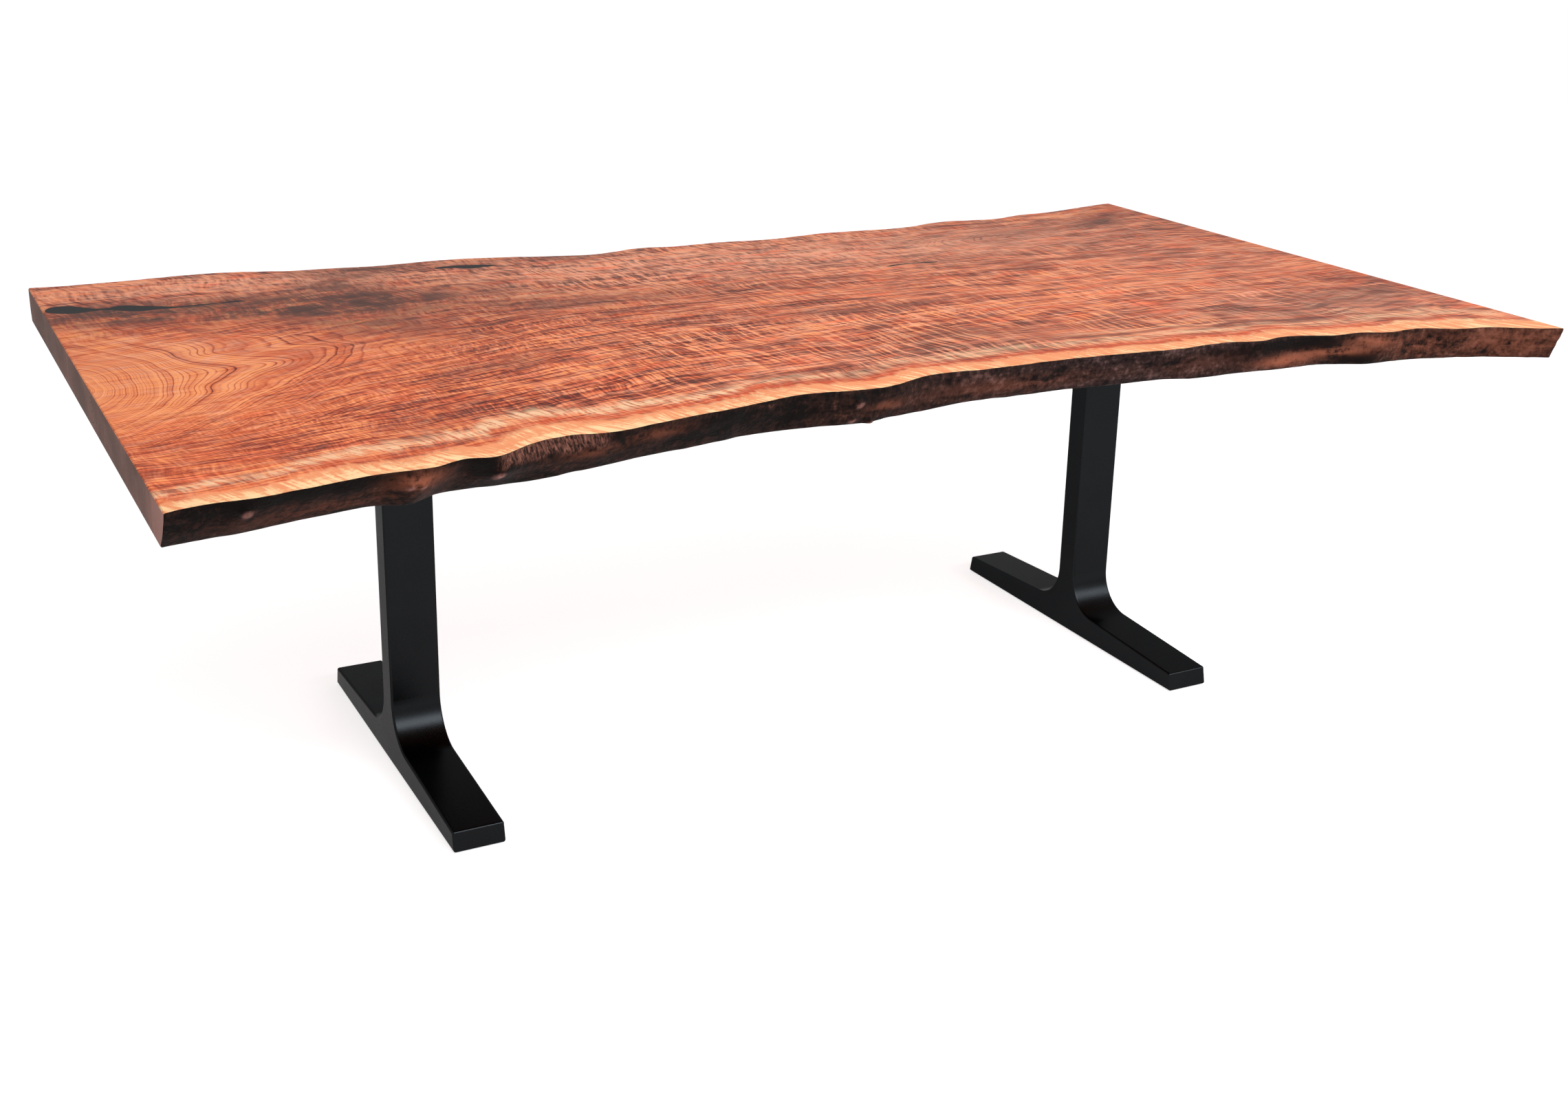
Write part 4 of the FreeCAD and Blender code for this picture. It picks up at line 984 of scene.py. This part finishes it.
def figure_fields(shape, points):
    """What the wood's materials read at each vertex: how far it lies across the grain and above the pith, its
    gap to the front rim, and the patches and places of the figure."""
    x, y, z = points.T
    stations = np.linspace(LEFT, RIGHT, FIELD_STEPS)
    pith_line = smoothed(stations, np.interp(stations, *np.array(PITH).T), PITH_SMOOTHING)
    lean = np.interp(x, stations, pith_line)
    lean = lean + FAN_RISE * eased(x, *FAN_RUN) * eased(lean - y, 0, FAN_REACH)
    lean = lean - PITH_REST
    across = y - PITH_REST
    gaps = {}
    for side in (FRONT, BACK):
        gaps[side] = side * (shape.rim(x, side, TOP) - y)
        flow = smoothed(stations, shape.rim(stations, side, TOP), RIM_SMOOTHING)
        drift = np.interp(x, stations, flow - flow.mean())
        inside = np.maximum(gaps[side], 0)
        across = across - drift * np.exp(-(inside / RIM_REACH) ** 2)
        lean = lean * (1 - np.exp(-(inside / LEAN_REACH) ** 2))
    sunk = PITH_DEPTH * (1 - np.exp(-(x - LEFT) / PITH_RUN)) + PITH_SLOPE * (x - LEFT)
    level = np.clip((TOP - z) / THICKNESS, 0, 1)
    on_front = gaps[FRONT] < NEAR + FRONT_BAND
    fields = {
        "across": across - lean,
        "depth": PITH_START + sunk - patches(x, y, [EYE]) + (TOP - z),
        "front_gap": gaps[FRONT] * np.interp(x, *np.array(SAP_SPREAD).T),
    }
    fields.update((name, patches(x, y, places)) for name, places in FIGURE.items())
    fields.update((name, edge_spots(x, level, places)) for name, places in EDGE_PLACES.items())
    # Pale knot tips, set below the nubs: worn wood with a painted highlight
    tips = shape.knots(x, level - TIP_DROP, TIP_SHARE)
    fields["knots"] = on_front * np.clip((tips - TIP_START) / (TIP_FULL - TIP_START), 0, 1)
    fields["torn"] = on_front * shape.torn(x, level)
    return fields


def finish_nodes(slot, material):
    """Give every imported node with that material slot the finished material."""
    names = [part["node"] for part in frame["record"]["subparts"] if part["material_slot"] == slot]
    if not names:
        raise RuntimeError(f"no packed node has the slot {slot}")
    for name in names:
        for held in frame["nodes"][name].material_slots:
            held.material = material


def speckled_finish(name, slot, tint, fleck, roughness):
    """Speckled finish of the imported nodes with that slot: a broad noise turns the tint into the fleck and dulls
    it, a fine noise lifts the surface."""
    grain, flecked, by_tone, by_height, strength, depth, fixed = FINISHES[name]
    material, sheet, shader = new_material(name)
    fine = sheet.group("speckle", {"Grain": grain})
    sheet.fill(shader, {
        **fixed, "Base Color": sheet.mix(sheet.times(fine["Tone"], flecked), tint, fleck),
        "Roughness": sheet.weighed(roughness, (fine["Tone"], by_tone), (fine["Height"], by_height))})
    if strength:
        sheet.fill(shader, {"Normal": sheet.bump(fine["Height"], strength, depth)})
    finish_nodes(slot, material)


class TABLE_OT_slab(bpy.types.Operator):
    """Build the slab with its live edges, cut voids and figured wood"""
    bl_idname = "table.make_slab"
    bl_label = "Make slab"

    def execute(self, context):
        settings = context.scene.table_slab
        shape = SlabShape(settings)
        slab = new_object("live_edge_slab", mesh_of_faces("live_edge_slab", *shape.mesh()))
        for build in (figured_material, live_edge_material, end_grain_material):
            slab.data.materials.append(build(settings))
        cut_voids(slab)
        mesh = slab.data
        for name, values in figure_fields(shape, mesh_points(mesh)).items():
            held = mesh.attributes.new(name, "FLOAT", "POINT")
            held.data.foreach_set("value", np.asarray(values, np.float32))
        mesh.polygons.foreach_set("use_smooth", np.ones(len(mesh.polygons), bool))
        mesh.set_sharp_from_angle(angle=math.radians(SHARP_ANGLE))
        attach(slab, TABLE_BODY)
        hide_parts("slab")
        return {"FINISHED"}


class TABLE_OT_resin(bpy.types.Operator):
    """Finish the black resin in the slab's voids"""
    bl_idname = "table.finish_resin"
    bl_label = "Finish resin"

    def execute(self, context):
        settings = context.scene.table_resin
        speckled_finish("black_resin", "resin", settings.resin, settings.cloud, settings.roughness)
        return {"FINISHED"}


class TABLE_OT_bases(bpy.types.Operator):
    """Powder coat the feet, posts, arms and plates"""
    bl_idname = "table.finish_bases"
    bl_label = "Finish bases"

    def execute(self, context):
        settings = context.scene.table_steel
        speckled_finish("black_powder_coat", "powder_coat", settings.coat, settings.coat_fleck,
                        settings.coat_roughness)
        return {"FINISHED"}


class TABLE_OT_fasteners(bpy.types.Operator):
    """Plate the screws, washers, nuts and studs, and turn the inserts in brass"""
    bl_idname = "table.finish_fasteners"
    bl_label = "Finish fasteners"

    def execute(self, context):
        settings = context.scene.table_steel
        shared = (settings.tarnish, settings.metal_roughness)
        speckled_finish("zinc_plate", "steel", settings.zinc, *shared)
        speckled_finish("turned_brass", "brass", settings.brass, *shared)
        return {"FINISHED"}


class TABLE_OT_pads(bpy.types.Operator):
    """Mould the leveller pads in black nylon"""
    bl_idname = "table.finish_pads"
    bl_label = "Finish pads"

    def execute(self, context):
        settings = context.scene.table_steel
        speckled_finish("black_nylon", "pad", settings.nylon, settings.nylon_fleck, settings.nylon_roughness)
        return {"FINISHED"}


def seen_directly(sheet):
    """1 for rays from the eye, a mirror or glass, 0 for rays that light the object."""
    path = sheet.put("ShaderNodeLightPath").outputs
    return sheet.chain("MAXIMUM", path["Is Camera Ray"], path["Is Glossy Ray"], path["Is Transmission Ray"])


def area_light(name, power, sides, place, turn, tint, lights):
    """Oblong lamp, turned from facing down about X and then Y, in degrees. One that doesn't light is only
    mirrored in glossy finishes."""
    lamp = bpy.data.lights.new(name, "AREA")
    lamp.shape = "RECTANGLE"
    lamp.size, lamp.size_y = sides
    lamp.energy = power
    lamp.color = tint
    held = new_object(name, lamp)
    held.visible_diffuse = lights
    held.location = place
    held.rotation_euler = Euler((math.radians(turn[0]), math.radians(turn[1]), 0))


class TABLE_OT_stage(bpy.types.Operator):
    """Set the floor, the light, the white surround and the camera"""
    bl_idname = "table.set_stage"
    bl_label = "Set stage"

    def execute(self, context):
        settings = context.scene.table_stage
        scene = context.scene
        scene.view_settings.view_transform = "Standard"

        corners = settings.floor_size / 2 * np.array([(-1, -1, 0), (1, -1, 0), (1, 1, 0), (-1, 1, 0)])
        floor = new_object("floor", mesh_of_faces("floor", corners, np.array([[0, 1, 2, 3]])))
        material, sheet, shader = new_material("pale_floor")
        lift = sheet.times(seen_directly(sheet), settings.floor_lift)
        sheet.fill(shader, {
            "Base Color": settings.floor, "Roughness": FLOOR_ROUGHNESS, "Specular IOR Level": 0.0,
            "Emission Color": WHITE, "Emission Strength": lift})
        floor.data.materials.append(material)

        world = bpy.data.worlds.new("studio")
        world.use_nodes = True
        scene.world = world
        sky = Sheet(world.node_tree)
        strength = sky.ease(seen_directly(sky), 0.0, 1.0, settings.sky, 1.0)
        sky.fill(world.node_tree.nodes["Background"], {"Color": WHITE, "Strength": strength})

        for name, lamp in LAMPS.items():
            area_light(name, getattr(settings, f"{name}_power"), *lamp)

        lens = bpy.data.cameras.new("camera")
        lens.sensor_width = SENSOR_WIDTH
        lens.lens = settings.lens
        lens.shift_x, lens.shift_y = settings.shift
        lens.clip_start, lens.clip_end = CLIPPING
        camera = new_object("camera", lens)
        camera.location = settings.camera_place
        camera.rotation_euler = Euler(settings.camera_turn)
        scene.camera = camera
        return {"FINISHED"}


class TABLE_PT_looks(bpy.types.Panel):
    """Operators and settings of the table"""
    bl_idname = "TABLE_PT_looks"
    bl_label = "Live edge table"
    bl_space_type = "VIEW_3D"
    bl_region_type = "UI"
    bl_category = "Table"

    def draw(self, context):
        for operator in OPERATORS:
            self.layout.operator(operator.bl_idname)
        for name, group in SETTINGS.items():
            box = self.layout.box()
            held = getattr(context.scene, name)
            for setting in group.__annotations__:
                box.prop(held, setting)


OPERATORS = (TABLE_OT_slab, TABLE_OT_resin, TABLE_OT_bases, TABLE_OT_fasteners, TABLE_OT_pads, TABLE_OT_stage)
CLASSES = (*SETTINGS.values(), *OPERATORS, TABLE_PT_looks)


def register():
    """Add the classes, and the settings to the scene."""
    for held in CLASSES:
        bpy.utils.register_class(held)
    for name, group in SETTINGS.items():
        setattr(bpy.types.Scene, name, PointerProperty(type=group))


def unregister():
    """Take the settings and the classes away again."""
    for name in SETTINGS:
        delattr(bpy.types.Scene, name)
    for held in reversed(CLASSES):
        bpy.utils.unregister_class(held)


def main():
    """Dress the frame."""
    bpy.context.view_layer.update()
    register()
    bpy.ops.table.make_slab()
    bpy.ops.table.finish_resin()
    bpy.ops.table.finish_bases()
    bpy.ops.table.finish_fasteners()
    bpy.ops.table.finish_pads()
    bpy.ops.table.set_stage()


if __name__ == "__main__":
    main()
